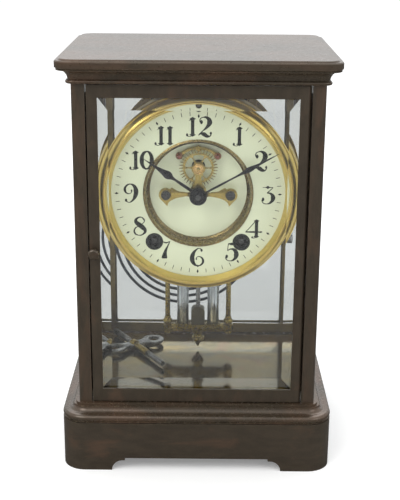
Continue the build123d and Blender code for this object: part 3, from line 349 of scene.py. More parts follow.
# ---- finishes ----
class Finish:
    """A node material under construction, with coordinates in millimetres."""

    def __init__(self, name):
        self.material = bpy.data.materials.new(name)
        self.material.use_nodes = True
        self.tree = self.material.node_tree
        self.shader = self.tree.nodes["Principled BSDF"]
        self.output = self.tree.nodes["Material Output"]
        coordinates = self.put("ShaderNodeTexCoord")
        scale = self.put("ShaderNodeMapping", Vector=coordinates.outputs["Object"])
        scale.inputs["Scale"].default_value = (1 / MM, 1 / MM, 1 / MM)
        self.place = scale.outputs["Vector"]

    def put(self, kind, settings=None, **inputs):
        """Add a node, set its properties and set or link its inputs."""
        node = self.tree.nodes.new(kind)
        for key, value in (settings or {}).items():
            setattr(node, key, value)
        for key, value in inputs.items():
            self.feed(node.inputs[key.replace("_", " ")], value)
        return node

    def feed(self, socket, value):
        """Set or link one input."""
        if isinstance(value, bpy.types.NodeSocket):
            self.tree.links.new(value, socket)
        else:
            socket.default_value = value

    def shaped(self, location=(0, 0, 0), rotation=(0, 0, 0), scale=(1, 1, 1)):
        """Coordinates that are moved, turned or stretched."""
        node = self.put("ShaderNodeMapping", Vector=self.place)
        node.inputs["Location"].default_value = location
        node.inputs["Rotation"].default_value = rotation
        node.inputs["Scale"].default_value = scale
        return node.outputs["Vector"]

    def noise(self, scale, detail=4.0, rough=0.55, twist=0.0, vector=None):
        """Cloudy noise from 0 to 1."""
        node = self.put("ShaderNodeTexNoise", Scale=scale, Detail=detail, Roughness=rough, Distortion=twist)
        self.feed(node.inputs["Vector"], vector or self.place)
        return node.outputs["Fac"]

    def span(self, value, low_in, high_in, low_out, high_out):
        """Map one range to another, clamped."""
        node = self.put("ShaderNodeMapRange")
        for socket, number in zip(node.inputs[:5], (value, low_in, high_in, low_out, high_out)):
            self.feed(socket, number)
        return node.outputs["Result"]

    def calc(self, operation, first, second=0.0):
        """One step of arithmetic."""
        node = self.put("ShaderNodeMath", {"operation": operation})
        self.feed(node.inputs[0], first)
        self.feed(node.inputs[1], second)
        return node.outputs[0]

    def blend(self, share, first, second, mode="MIX"):
        """Mix two colours."""
        node = self.put("ShaderNodeMix", {"data_type": "RGBA", "blend_type": mode})
        self.feed(node.inputs[0], share)
        self.feed(node.inputs[6], first if isinstance(first, bpy.types.NodeSocket) else (*first, 1))
        self.feed(node.inputs[7], second if isinstance(second, bpy.types.NodeSocket) else (*second, 1))
        return node.outputs[2]

    def edges(self, radius, start=0.02, full=0.22):
        """1 on edges and corners, 0 on flats."""
        soft = self.put("ShaderNodeBevel", {"samples": 6}, Radius=radius * MM)
        hard = self.put("ShaderNodeNewGeometry")
        dot = self.put("ShaderNodeVectorMath", {"operation": "DOT_PRODUCT"})
        self.feed(dot.inputs[0], soft.outputs["Normal"])
        self.feed(dot.inputs[1], hard.outputs["Normal"])
        return self.span(self.calc("SUBTRACT", 1.0, dot.outputs["Value"]), start, full, 0.0, 1.0)

    def relief(self, height, strength, distance, rounded=0.0):
        """Bump from a height, on edges that catch light as if rounded."""
        bump = self.put("ShaderNodeBump", Strength=strength, Distance=distance * MM, Height=height)
        if rounded:
            soft = self.put("ShaderNodeBevel", {"samples": 4}, Radius=rounded * MM)
            self.feed(bump.inputs["Normal"], soft.outputs["Normal"])
        self.feed(self.shader.inputs["Normal"], bump.outputs["Normal"])

    def surface(self, **inputs):
        """Set or link the shader's inputs."""
        for key, value in inputs.items():
            self.feed(self.shader.inputs[key.replace("_", " ")], value)
        return self.material


def tone(colour, factor):
    """A lighter or darker version of a colour."""
    return tuple(min(1.0, channel * factor) for channel in colour)


def bronze(name, colours, polish=1.0, stretch=(1, 1, 1), warm=0.5, wear_and_sheen=1.0):
    """Old lacquered bronze: brown patina in clouds, fine scratches, and edges painted bright, partly as real wear and
    partly as a painted highlight.
    """
    mat = Finish(name)
    clouds = mat.noise(0.055, 6, 0.6, 0.6, mat.shaped(scale=stretch))
    patches = mat.noise(0.16, 5, 0.65, 0.3, mat.shaped(location=(31, 7, 3), scale=stretch))
    grain = mat.noise(2.6, 3, 0.6, 0.0, mat.shaped(scale=stretch))
    dark = mat.blend(mat.span(patches, 0.38, 0.62, 0, 1), tone(colours.bronze, 0.72), colours.bronze)
    body = mat.blend(mat.span(clouds, 0.60 - 0.22 * warm, 0.72 - 0.1 * warm, 0, 0.85), dark, colours.bronze_warm)
    body = mat.blend(mat.span(grain, 0.35, 0.7, 0, 0.35), body, tone(colours.bronze, 1.7))
    # Painted highlight and wear: edges, broken up in patches, take the worn colour, partly as rubbed metal and partly
    # as a painted highlight.
    edge = mat.edges(0.3)
    chips = mat.span(mat.noise(0.35, 6, 0.7), 0.47, 0.6, 0, 1)
    worn = mat.calc("MULTIPLY", mat.calc("MULTIPLY", edge, chips), 0.85 * wear_and_sheen)
    specks = mat.span(mat.noise(1.1, 6, 0.75, 0.0, mat.shaped(location=(5, 9, 2))), 0.70, 0.76, 0, 0.6)
    colour = mat.blend(mat.calc("MAXIMUM", worn, specks), body, colours.bronze_wear_and_sheen)
    gloss = mat.span(mat.noise(0.4, 5, 0.6), 0.3, 0.7, 0.30 / polish, 0.46 / polish)
    height = mat.calc("ADD", mat.noise(1.6, 5, 0.6), mat.calc("MULTIPLY", grain, 0.4))
    mat.relief(height, 0.15, 0.008, 0.12)
    return mat.surface(Base_Color=colour, Metallic=mat.span(worn, 0, 1, 0.45, 1.0), Roughness=gloss,
                       IOR=1.6, Coat_Weight=0.25, Coat_Roughness=0.28)


def brass(name, light, dark, gloss, spun=None, scale=0.35, bump=0.3, blotch=0.5):
    """Brass with tarnish in clouds and a painted highlight along its edges. Spun gives it fine turned lines about a
    point on the dial.
    """
    mat = Finish(name)
    clouds = mat.noise(scale, 6, 0.62, 0.4)
    body = mat.blend(mat.span(clouds, 0.62 - 0.2 * blotch, 0.78 - 0.1 * blotch, 0, 0.3 + 0.6 * blotch), light, dark)
    # Painted highlight: the edges are painted lighter than the body.
    edge = mat.edges(0.15)
    body = mat.blend(mat.calc("MULTIPLY", edge, 0.3), body, tone(light, 1.25))
    lines = mat.noise(3.5, 4, 0.6)
    if spun:
        rings = mat.put("ShaderNodeTexWave", {"wave_type": "RINGS", "rings_direction": "Y"},
                        Vector=mat.shaped(location=(-spun[0], 0, -spun[2])),
                        Scale=1.6, Distortion=1.2, Detail=3.0, Detail_Scale=0.6)
        lines = mat.calc("ADD", mat.calc("MULTIPLY", rings.outputs["Fac"], 0.5), mat.calc("MULTIPLY", lines, 0.5))
    body = mat.blend(mat.span(lines, 0.2, 0.9, 0, 0.35), body, tone(dark, 0.9))
    mat.relief(lines, bump, 0.005, 0.1)
    rough = mat.span(mat.noise(0.8, 5, 0.6), 0.3, 0.7, gloss * 0.75, gloss * 1.35)
    return mat.surface(Base_Color=body, Metallic=1.0, Roughness=rough)


def steel(name, light, dark, gloss, scale=0.5, metallic=1.0, bump=0.25):
    """Drawn or blued steel with faint clouds, scratches and a painted highlight along its edges."""
    mat = Finish(name)
    clouds = mat.noise(scale, 6, 0.6, 0.3)
    body = mat.blend(mat.span(clouds, 0.35, 0.65, 0, 1), light, dark)
    # Painted highlight: the edges are painted much lighter than the body.
    edge = mat.edges(0.25)
    body = mat.blend(mat.calc("MULTIPLY", edge, 0.4), body, tone(light, 1.8))
    scratch = mat.noise(4.0, 4, 0.6)
    mat.relief(scratch, bump, 0.006, 0.12)
    rough = mat.span(mat.noise(1.2, 5, 0.6), 0.3, 0.7, gloss * 0.7, gloss * 1.4)
    return mat.surface(Base_Color=body, Metallic=metallic, Roughness=rough)


def enamel(name, cream):
    """Vitreous enamel: cream with a green cast, a glassy skin and faint clouds."""
    mat = Finish(name)
    clouds = mat.noise(0.05, 4, 0.5)
    fine = mat.noise(1.5, 4, 0.6)
    body = mat.blend(mat.span(clouds, 0.35, 0.7, 0, 1), cream, tone(cream, 0.93))
    body = mat.blend(mat.span(fine, 0.62, 0.8, 0, 0.25), body, tone(cream, 0.8))
    mat.relief(mat.noise(0.12, 3, 0.5), 0.25, 0.15)
    rough = mat.span(fine, 0.3, 0.7, 0.16, 0.26)
    return mat.surface(Base_Color=body, Roughness=rough, Coat_Weight=0.35, Coat_Roughness=0.08)


def ink(name, colours):
    """Fired black, a little thin in places."""
    mat = Finish(name)
    body = mat.blend(mat.span(mat.noise(1.4, 4, 0.6), 0.6, 0.8, 0, 0.4), colours.ink, tone(colours.ink, 3))
    mat.relief(mat.noise(3.0, 3, 0.5), 0.2, 0.02)
    rough = mat.span(mat.noise(0.9), 0.3, 0.7, 0.3, 0.45)
    return mat.surface(Base_Color=body, Roughness=rough, Specular_IOR_Level=0.12)


def glass(name, tint, haze, film):
    """Old plate glass, clear and a little smeared, with dust along its edges. Lamps shine through it."""
    mat = Finish(name)
    smear = mat.noise(0.03, 4, 0.6, 0.8)
    dust = mat.calc("MULTIPLY", mat.edges(0.6), mat.span(mat.noise(0.9, 6, 0.75), 0.55, 0.72, 0, 1))
    mat.surface(Base_Color=(*tint, 1), Transmission_Weight=1.0, IOR=1.52,
                Roughness=mat.span(smear, 0.4, 0.75, 0.0, haze))
    grime = mat.put("ShaderNodeBsdfDiffuse")
    grime.inputs["Color"].default_value = (0.62, 0.60, 0.52, 1)
    dirty = mat.put("ShaderNodeMixShader")
    mat.feed(dirty.inputs[0], mat.calc("MULTIPLY", dust, film))
    mat.feed(dirty.inputs[1], mat.shader.outputs[0])
    mat.feed(dirty.inputs[2], grime.outputs[0])
    clear = mat.put("ShaderNodeBsdfTransparent")
    clear.inputs["Color"].default_value = (*tone(tint, 0.97), 1)
    path = mat.put("ShaderNodeLightPath")
    lamp = mat.calc("MAXIMUM", path.outputs["Is Shadow Ray"], path.outputs["Is Diffuse Ray"])
    mix = mat.put("ShaderNodeMixShader")
    mat.feed(mix.inputs[0], lamp)
    mat.feed(mix.inputs[1], dirty.outputs[0])
    mat.feed(mix.inputs[2], clear.outputs[0])
    mat.feed(mat.output.inputs["Surface"], mix.outputs[0])
    return mat.material


def floor_mirror():
    """Polished floor of the case: brass that has turned ochre, grey and rose in broad streaks."""
    mat = Finish("mottled_floor")
    wide = mat.shaped(location=(9, 2, 0), rotation=(0, 0, 0.12), scale=(0.35, 1.0, 1))
    broad = mat.noise(0.09, 6, 0.6, 0.8, wide)
    fine = mat.noise(0.5, 6, 0.7, 0.4, wide)
    body = mat.blend(mat.span(broad, 0.35, 0.6, 0, 1), (0.34, 0.26, 0.11), (0.22, 0.205, 0.15))
    body = mat.blend(mat.span(mat.noise(0.06, 5, 0.6, 0.5, mat.shaped(location=(40, 3, 0))), 0.52, 0.68, 0, 0.7),
                     body, (0.30, 0.18, 0.12))
    body = mat.blend(mat.span(fine, 0.45, 0.75, 0, 0.6), body, (0.14, 0.11, 0.06))
    mat.relief(mat.noise(0.5, 5, 0.6, 0.0, wide), 0.2, 0.03)
    return mat.surface(Base_Color=body, Metallic=1.0, Roughness=mat.span(fine, 0.3, 0.7, 0.07, 0.17))


def gem(colours):
    """Polished red-brown stone."""
    mat = Finish("pallet_jewel")
    body = mat.blend(mat.span(mat.noise(1.2), 0.3, 0.7, 0, 1), colours.jewel, tone(colours.jewel, 0.5))
    return mat.surface(Base_Color=body, Roughness=mat.span(mat.noise(2.0), 0.3, 0.7, 0.08, 0.16),
                       Coat_Weight=0.6, Coat_Roughness=0.05)


def quicksilver():
    """Mercury under old glass, with a dull skin in places."""
    mat = Finish("quicksilver")
    skin = mat.noise(0.4, 5, 0.6, 0.3, mat.shaped(scale=(1, 1, 0.2)))
    body = mat.blend(mat.span(skin, 0.4, 0.7, 0, 1), (0.66, 0.67, 0.68), (0.40, 0.41, 0.42))
    return mat.surface(Base_Color=body, Metallic=1.0, Roughness=mat.span(skin, 0.3, 0.7, 0.08, 0.3))


# ---- stage ----
class CLOCK_OT_stage(bpy.types.Operator):
    """Pale floor, soft studio light and the camera."""

    bl_idname = "clock.stage"
    bl_label = "Studio stage"

    def execute(self, context):
        """Build the stage."""
        rest()
        bpy.ops.mesh.primitive_plane_add(size=24)
        ground = context.object
        ground.name = "studio_floor"
        paper = Finish("studio_paper")
        fine = paper.noise(0.4, 3)
        colour = paper.blend(paper.span(fine, 0.3, 0.7, 0, 1), (0.90, 0.90, 0.90), (0.87, 0.87, 0.87))
        paper.surface(Base_Color=colour, Roughness=0.9, Emission_Color=(1, 1, 1, 1), Emission_Strength=0.22)
        # Painted shade: glossy rays see the floor as dark grey, and rays through glass see it mixed 30% towards that
        # grey, so it looks dark in reflections and behind the panes.
        shade = paper.put("ShaderNodeBsdfDiffuse")
        shade.inputs["Color"].default_value = (0.14, 0.14, 0.135, 1)
        mix = paper.put("ShaderNodeMixShader")
        path = paper.put("ShaderNodeLightPath")
        glossy = paper.calc("SUBTRACT", path.outputs["Is Glossy Ray"], path.outputs["Is Transmission Ray"])
        through = paper.calc("MULTIPLY", path.outputs["Is Transmission Ray"], 0.3)
        paper.feed(mix.inputs[0], paper.calc("MAXIMUM", glossy, through))
        paper.feed(mix.inputs[1], paper.shader.outputs[0])
        paper.feed(mix.inputs[2], shade.outputs[0])
        paper.feed(paper.output.inputs["Surface"], mix.outputs[0])
        ground.data.materials.append(paper.material)
        self.light_room(context)
        for name, at, turn, size, power, colour in (
            ("key_light", (-0.75, -0.95, 1.25), (44, 0, -38), 0.9, 10.5, (1.0, 0.985, 0.96)),
            ("fill_light", (0.95, -0.85, 0.75), (58, 0, 48), 0.8, 2.6, (0.95, 0.975, 1.0)),
            ("back_light", (0.1, 1.1, 1.4), (-38, 0, 0), 1.4, 9.0, (1.0, 1.0, 1.0)),
        ):
            bpy.ops.object.light_add(type="AREA", location=at, rotation=[radians(v) for v in turn])
            lamp = context.object
            lamp.name = name
            lamp.data.size = size
            lamp.data.energy = power
            lamp.data.color = colour
        bpy.ops.object.camera_add()
        camera = context.object
        camera.name = "front_camera"
        aim = Matrix.Rotation(radians(0.21), 4, "Z") @ Matrix.Rotation(radians(72.35), 4, "X")
        aim = aim @ Matrix.Rotation(radians(0.42), 4, "Z")
        camera.matrix_world = Matrix.Translation(Vector(CAMERA_SPOT) * MM) @ aim
        camera.data.sensor_width = 36
        camera.data.lens = CAMERA_LENS
        camera.data.clip_end = 50
        context.scene.camera = camera
        context.scene.view_settings.view_transform = "Standard"
        return {"FINISHED"}

    def light_room(self, context):
        """Even light from above and behind, dimmer from the front."""
        world = bpy.data.worlds.new("studio")
        context.scene.world = world
        world.use_nodes = True
        tree = world.node_tree
        where = tree.nodes.new("ShaderNodeTexCoord")
        split = tree.nodes.new("ShaderNodeSeparateXYZ")
        tree.links.new(where.outputs["Generated"], split.inputs[0])
        lean = tree.nodes.new("ShaderNodeMath")
        lean.operation = "MULTIPLY_ADD"
        tree.links.new(split.outputs["Y"], lean.inputs[0])
        lean.inputs[1].default_value = 0.75
        tree.links.new(split.outputs["Z"], lean.inputs[2])
        sweep = tree.nodes.new("ShaderNodeMapRange")
        sweep.interpolation_type = "SMOOTHSTEP"
        tree.links.new(lean.outputs[0], sweep.inputs[0])
        sweep.inputs[1].default_value = -0.75
        sweep.inputs[2].default_value = 0.65
        sweep.inputs[3].default_value = 0.42
        sweep.inputs[4].default_value = 1.0
        back = tree.nodes["Background"]
        back.inputs["Color"].default_value = (0.985, 0.995, 1.0, 1)
        tree.links.new(sweep.outputs[0], back.inputs["Strength"])


# ---- case ----
class CLOCK_OT_case(bpy.types.Operator):
    """Patina on the plinth, mouldings, pillars, doors, cap and side frames."""

    bl_idname = "clock.case"
    bl_label = "Bronze case"

    def execute(self, context):
        """Finish the case."""
        colours = context.scene.clock_colours
        # The last number of each bronze sets how strongly its edges are painted bright, as wear and painted highlight.
        dress(bronze("plinth_bronze", colours, 1.0, (0.5, 0.5, 1.4), 0.15, 0.8), "plinth")
        dress(bronze("moulding_bronze", colours, 1.5, (0.5, 0.5, 1.5), 0.9, 1.8), "base_moulding", "cornice")
        dress(bronze("pillar_bronze", colours, 1.0, (1.6, 1.6, 0.35), 0.65, 1.0), "pillars")
        dress(bronze("door_bronze", colours, 1.0, (1.2, 1.2, 0.5), 0.2, 1.0), "front_door_frame")
        dress(brass("rear_door_brass", tone(colours.brass_aged, 0.75), tone(colours.bronze, 1.8), 0.4, None, 0.06,
                    0.25, 0.8), "back_door_frame")
        dress(bronze("side_bronze", colours, 1.0, (1.2, 0.8, 0.5), 0.4, 0.8), "side_frame_left", "side_frame_right")
        self.stops(colours)
        dress(bronze("cap_bronze", colours, 1.2, (0.25, 0.4, 1.0), 0.9, 1.6), "cap")
        return {"FINISHED"}


    def stops(self, colours):
        """Dark strips on the pillars that the doors close against."""
        edge = high("front_door_frame").x
        z0 = low("front_door_frame").z
        z1 = high("front_door_frame").z
        strips = []
        for turn in (1, -1):
            y = turn * high("back_door_frame").y - turn * DOOR_DEEP
            for side in (-1, 1):
                near, far = sorted((side * edge, side * (edge + STOP_WIDE)))
                back, front = sorted((y, y - turn * STOP_DEEP))
                strips.append(block("strip", (near, back, z0 + STOP_SHORT), (far, front, z1 - STOP_SHORT), 0.1))
        settle(join("door_stops", strips), "case", bronze("stop_bronze", colours, 0.6), "case_bronze")


class CLOCK_OT_glass(bpy.types.Operator):
    """Bevelled panes of the doors and the sides."""

    bl_idname = "clock.glass"
    bl_label = "Bevelled glass"

    def execute(self, context):
        """Finish the panes."""
        dress(glass("front_glass", (0.975, 0.985, 0.98), 0.02, 0.8), "front_door_glass")
        # Painted shade: the rear pane is tinted far darker than the front, to grey the view through the case.
        dress(glass("rear_glass_painted_shade", (0.585, 0.605, 0.60), 0.03, 0.6), "back_door_glass")
        dress(glass("side_glass", (0.86, 0.89, 0.89), 0.03, 0.6), "side_glass_left", "side_glass_right")
        return {"FINISHED"}


class CLOCK_OT_knobs(bpy.types.Operator):
    """Turned door knobs with a bright rim."""

    bl_idname = "clock.knobs"
    bl_label = "Door knobs"

    def execute(self, context):
        """Turn the knobs."""
        colours = context.scene.clock_colours
        finish = bronze("knob_bronze", colours, 1.5, (1, 1, 1), 0.5, 1.6)
        for node, body in (("front_door_knob", "front_knob"), ("back_door_knob", "back_knob")):
            at = centre(node)
            front = node.startswith("front")
            face = low(node).y if front else high(node).y
            turn = 1.0 if front else -1.0
            profile = [(0, 0.35), (1.1, 0.2), (1.9, 0.0), (2.55, 0.12), (3.05, 0.55), (3.35, 1.2), (3.35, 2.0),
                       (3.05, 2.7), (2.5, 3.2), (1.75, 3.55), (1.45, 4.1), (1.55, 4.7), (2.3, 5.2), (2.4, 5.5),
                       (1.3, 5.5), (1.3, 11.4), (0, 11.4)]
            knob = lathe(node + "_turned", [(r, face + turn * h) for r, h in profile], at, steps=48)
            inside = face + turn * 10.4
            latch = block("latch", (at.x - 1.1, min(inside, inside + turn), at.z - 2.4),
                          (at.x + 1.1, max(inside, inside + turn), at.z + 2.4), 0.15)
            knob = join(node + "_turned", [knob, latch])
            settle(knob, body, finish, "case_bronze", node)
        return {"FINISHED"}


# ---- dial ----
def ball(x, y, r):
    """A round drop of ink."""
    return [(x - r, y, 0.0), (x - 0.72 * r, y, 0.7 * r), (x, y, r), (x + 0.72 * r, y, 0.7 * r), (x + r, y, 0.0)]


def diamond(x, y, wide, tall):
    """A pointed lozenge of ink."""
    return [(x, y - tall, 0.0, 1), (x, y, wide, 1), (x, y + tall, 0.0, 1)]


FOOT_CURL = [(0.0, 0.13, 0.016), (-0.05, 0.035, 0.014), (-0.15, 0.0, 0.013), (-0.245, 0.045, 0.018)]
NUMERALS = {
    "1": [
        [(0.0, 0.90, 0.052), (0.0, 0.5, 0.050), (0.0, 0.10, 0.052)],
        diamond(0.0, 0.90, 0.085, 0.10), diamond(0.0, 0.09, 0.085, 0.10),
        [(-0.17, 0.80, 0.004), (-0.08, 0.86, 0.022), (0.0, 0.93, 0.03)],
        FOOT_CURL, ball(-0.235, 0.085, 0.05),
    ],
    "I": [
        [(0.0, 0.90, 0.052), (0.0, 0.5, 0.050), (0.0, 0.10, 0.052)],
        diamond(0.0, 0.90, 0.085, 0.10), diamond(0.0, 0.09, 0.085, 0.10),
        [(-0.15, 0.80, 0.004), (-0.07, 0.86, 0.022), (0.0, 0.93, 0.03)],
    ],
    "2": [
        [(-0.16, 0.72, 0.03), (-0.19, 0.86, 0.016), (-0.05, 0.985, 0.016), (0.15, 0.93, 0.05),
         (0.22, 0.73, 0.072), (0.12, 0.50, 0.045), (-0.06, 0.30, 0.018), (-0.24, 0.10, 0.016)],
        [(-0.26, 0.05, 0.006), (-0.16, 0.15, 0.030), (-0.02, 0.12, 0.062), (0.12, 0.025, 0.050),
         (0.24, 0.03, 0.022), (0.30, 0.14, 0.014)],
        ball(-0.125, 0.735, 0.062), ball(0.275, 0.175, 0.05),
    ],
    "3": [
        [(-0.22, 0.86, 0.010), (0.0, 0.87, 0.016), (0.23, 0.86, 0.012)],
        diamond(0.0, 0.87, 0.070, 0.085),
        [(0.23, 0.86, 0.012), (0.10, 0.71, 0.015), (-0.03, 0.575, 0.016)],
        [(-0.03, 0.575, 0.016), (0.13, 0.54, 0.035), (0.235, 0.33, 0.068), (0.15, 0.09, 0.040),
         (-0.03, -0.005, 0.016), (-0.20, 0.06, 0.016), (-0.25, 0.20, 0.020)],
        ball(-0.195, 0.235, 0.060),
    ],
    "4": [
        [(0.11, 0.97, 0.014), (-0.08, 0.68, 0.016), (-0.33, 0.35, 0.014)],
        [(-0.35, 0.335, 0.020), (0.0, 0.335, 0.032), (0.34, 0.335, 0.020)],
        [(0.13, 0.93, 0.050), (0.13, 0.5, 0.050), (0.13, 0.10, 0.050)],
        diamond(0.13, 0.93, 0.080, 0.09), diamond(0.13, 0.09, 0.080, 0.09),
        [(0.13, 0.13, 0.016), (0.07, 0.02, 0.014), (-0.03, 0.01, 0.016)], ball(-0.05, 0.045, 0.038),
        diamond(0.33, 0.335, 0.05, 0.06),
    ],
    "5": [
        [(-0.13, 0.93, 0.020), (0.02, 0.915, 0.046), (0.20, 0.945, 0.026)],
        [(-0.13, 0.93, 0.016), (-0.145, 0.75, 0.014), (-0.16, 0.55, 0.014)],
        [(-0.16, 0.55, 0.014), (-0.01, 0.645, 0.026), (0.17, 0.56, 0.055), (0.225, 0.33, 0.070),
         (0.14, 0.09, 0.040), (-0.03, -0.005, 0.016), (-0.20, 0.06, 0.016), (-0.25, 0.20, 0.020)],
        ball(-0.195, 0.235, 0.060),
    ],
    "6": [
        [(0.17, 0.88, 0.024), (0.07, 0.975, 0.014), (-0.08, 0.88, 0.030), (-0.22, 0.62, 0.060),
         (-0.245, 0.36, 0.068), (-0.16, 0.12, 0.048), (0.0, 0.015, 0.018), (0.17, 0.10, 0.032),
         (0.235, 0.29, 0.040), (0.14, 0.49, 0.024), (-0.01, 0.51, 0.014), (-0.09, 0.40, 0.014)],
        ball(0.165, 0.865, 0.052), ball(-0.06, 0.385, 0.036), diamond(0.0, 0.01, 0.055, 0.075),
    ],
    "7": [
        [(-0.24, 0.84, 0.014), (-0.10, 0.93, 0.018), (0.08, 0.875, 0.026), (0.25, 0.96, 0.012)],
        diamond(-0.22, 0.85, 0.062, 0.085),
        [(0.25, 0.96, 0.012), (0.15, 0.70, 0.024), (0.05, 0.42, 0.045), (0.0, 0.08, 0.078), (0.0, 0.02, 0.070)],
    ],
    "8": [
        [(0.20, 0.84, 0.028), (0.08, 0.965, 0.018), (-0.10, 0.92, 0.032), (-0.17, 0.76, 0.052),
         (-0.05, 0.59, 0.068), (0.12, 0.43, 0.068), (0.235, 0.24, 0.050), (0.13, 0.05, 0.024),
         (-0.05, 0.0, 0.016), (-0.22, 0.12, 0.030), (-0.22, 0.33, 0.026), (-0.07, 0.49, 0.014),
         (0.10, 0.61, 0.014), (0.20, 0.74, 0.016), (0.20, 0.84, 0.028)],
    ],
    "9": [
        [(0.08, 0.62, 0.014), (0.0, 0.50, 0.014), (-0.14, 0.50, 0.022), (-0.235, 0.69, 0.042),
         (-0.16, 0.90, 0.030), (0.0, 0.985, 0.018), (0.17, 0.88, 0.048), (0.245, 0.63, 0.068),
         (0.21, 0.36, 0.058), (0.09, 0.12, 0.030), (-0.06, 0.02, 0.014), (-0.20, 0.10, 0.020)],
        ball(0.055, 0.645, 0.038), ball(-0.19, 0.135, 0.052),
    ],
    "0": [
        [(0.08, 0.985, 0.010), (-0.12, 0.87, 0.045), (-0.215, 0.50, 0.062), (-0.13, 0.13, 0.045),
         (0.02, 0.03, 0.014)],
        [(-0.08, 0.015, 0.010), (0.12, 0.13, 0.045), (0.215, 0.50, 0.062), (0.13, 0.87, 0.045),
         (-0.02, 0.97, 0.014)],
    ],
}
HOURS = (
    (("1", 0.32, 0),), (("2", 0.11, 0),), (("3", 0.08, 0),), (("4", -0.14, -0.11),), (("5", 0, -0.08),),
    (("6", 0, 0.08),), (("7", 0, 0),), (("8", 0, 0),), (("9", 0, 0),), (("1", -0.17, 0), ("0", 0.39, 0)),
    (("1", -0.15, 0), ("I", 0.30, 0)), (("1", -0.30, 0), ("2", 0.29, 0)),
)


def written(name, digit, height, weight, depth):
    """One numeral drawn with a pen of changing width, a thin skin of ink on the XZ plane."""
    rest()
    bpy.ops.curve.primitive_bezier_curve_add(radius=1)
    obj = bpy.context.object
    obj.name = name
    curve = obj.data
    curve.splines.clear()
    curve.dimensions = "3D"
    curve.bevel_depth = weight
    curve.bevel_resolution = 1
    curve.resolution_u = 6
    curve.use_fill_caps = True
    for line in NUMERALS[digit]:
        spline = curve.splines.new("BEZIER")
        spline.bezier_points.add(len(line) - 1)
        for knot, point in zip(spline.bezier_points, line):
            knot.co = (1.18 * point[0], point[1] - 0.5, 0)
            knot.radius = point[2] * (0.8 + 5.0 * point[2])
            kind = "VECTOR" if len(point) == 4 else "AUTO"
            knot.handle_left_type = kind
            knot.handle_right_type = kind
    bpy.ops.object.convert(target="MESH")
    thin = Matrix.Diagonal((height, height, depth / 0.07, 1))
    return place(obj, FRONT @ thin)


class CLOCK_OT_dial(bpy.types.Operator):
    """Enamel, hour numerals and the minute track."""

    bl_idname = "clock.dial"
    bl_label = "Enamel dial"

    def execute(self, context):
        """Finish and print the dial."""
        sizes = context.scene.clock_sizes
        colours = context.scene.clock_colours
        # Painted shade: the ring's enamel is painted darker than the centre's, so that the shaded sunk centre looks as
        # bright as the ring.
        dress(enamel("ring_enamel_painted_shade", tone(colours.enamel, 0.84)), "dial_ring")
        dress(enamel("centre_enamel", colours.enamel), "dial_centre")
        black = ink("fired_ink", colours)
        face = Vector((DIAL.x, DIAL_Y, DIAL.z)) * MM
        models = {d: written("numeral", d, sizes.numeral_height, sizes.pen_weight, sizes.ink_depth) for d in NUMERALS}
        printed = []
        for hour, digits in enumerate(HOURS, 1):
            angle = radians(30 * hour)
            for digit, across, up in digits:
                at = Vector((sizes.numeral_radius * sin(angle) + across * sizes.numeral_height, 0,
                             sizes.numeral_radius * cos(angle) + up * sizes.numeral_height))
                printed.append(copy(models[digit], Matrix.Translation(face + at)))
        for model in models.values():
            bpy.data.objects.remove(model)
        numerals = tidy(join("dial_numerals", printed), 60.0)
        settle(numerals, "case", black, "dark_pan")
        self.track(sizes, black, face)
        return {"FINISHED"}

    def track(self, sizes, black, face):
        """Sixty strokes, every fifth one a lozenge."""
        strokes = []
        half = sizes.tick_length / 2 / MM
        skin = sizes.ink_depth / MM
        y = DIAL_Y
        r = sizes.track_radius / MM
        stroke = block("stroke", (DIAL.x - 0.17, y - skin, DIAL.z + r - half),
                       (DIAL.x + 0.17, y + skin, DIAL.z + r + half), skin / 3)
        matrix = Matrix.Translation((DIAL.x * MM, y * MM, (DIAL.z + r + 0.3) * MM)) @ FRONT
        mark = plate("mark", [[(0, -1.25, 1), (0.62, 0, 1), (0, 1.25, 1), (-0.62, 0, 1)]], 2 * skin, skin / 3, matrix)
        for minute in range(60):
            turn = Matrix.Rotation(radians(6 * minute), 4, "Y")
            spin = Matrix.Translation(face) @ turn @ Matrix.Translation(-face)
            if minute == 0:
                strokes.append(copy(mark, Matrix.Translation((0, 0, -1.9 * MM))))
            elif minute % 5 == 0:
                strokes.append(copy(mark, spin))
            else:
                strokes.append(copy(stroke, spin))
        bpy.data.objects.remove(stroke)
        bpy.data.objects.remove(mark)
        track = tidy(join("minute_track", strokes), 40.0)
        settle(track, "case", black, "dark_pan")


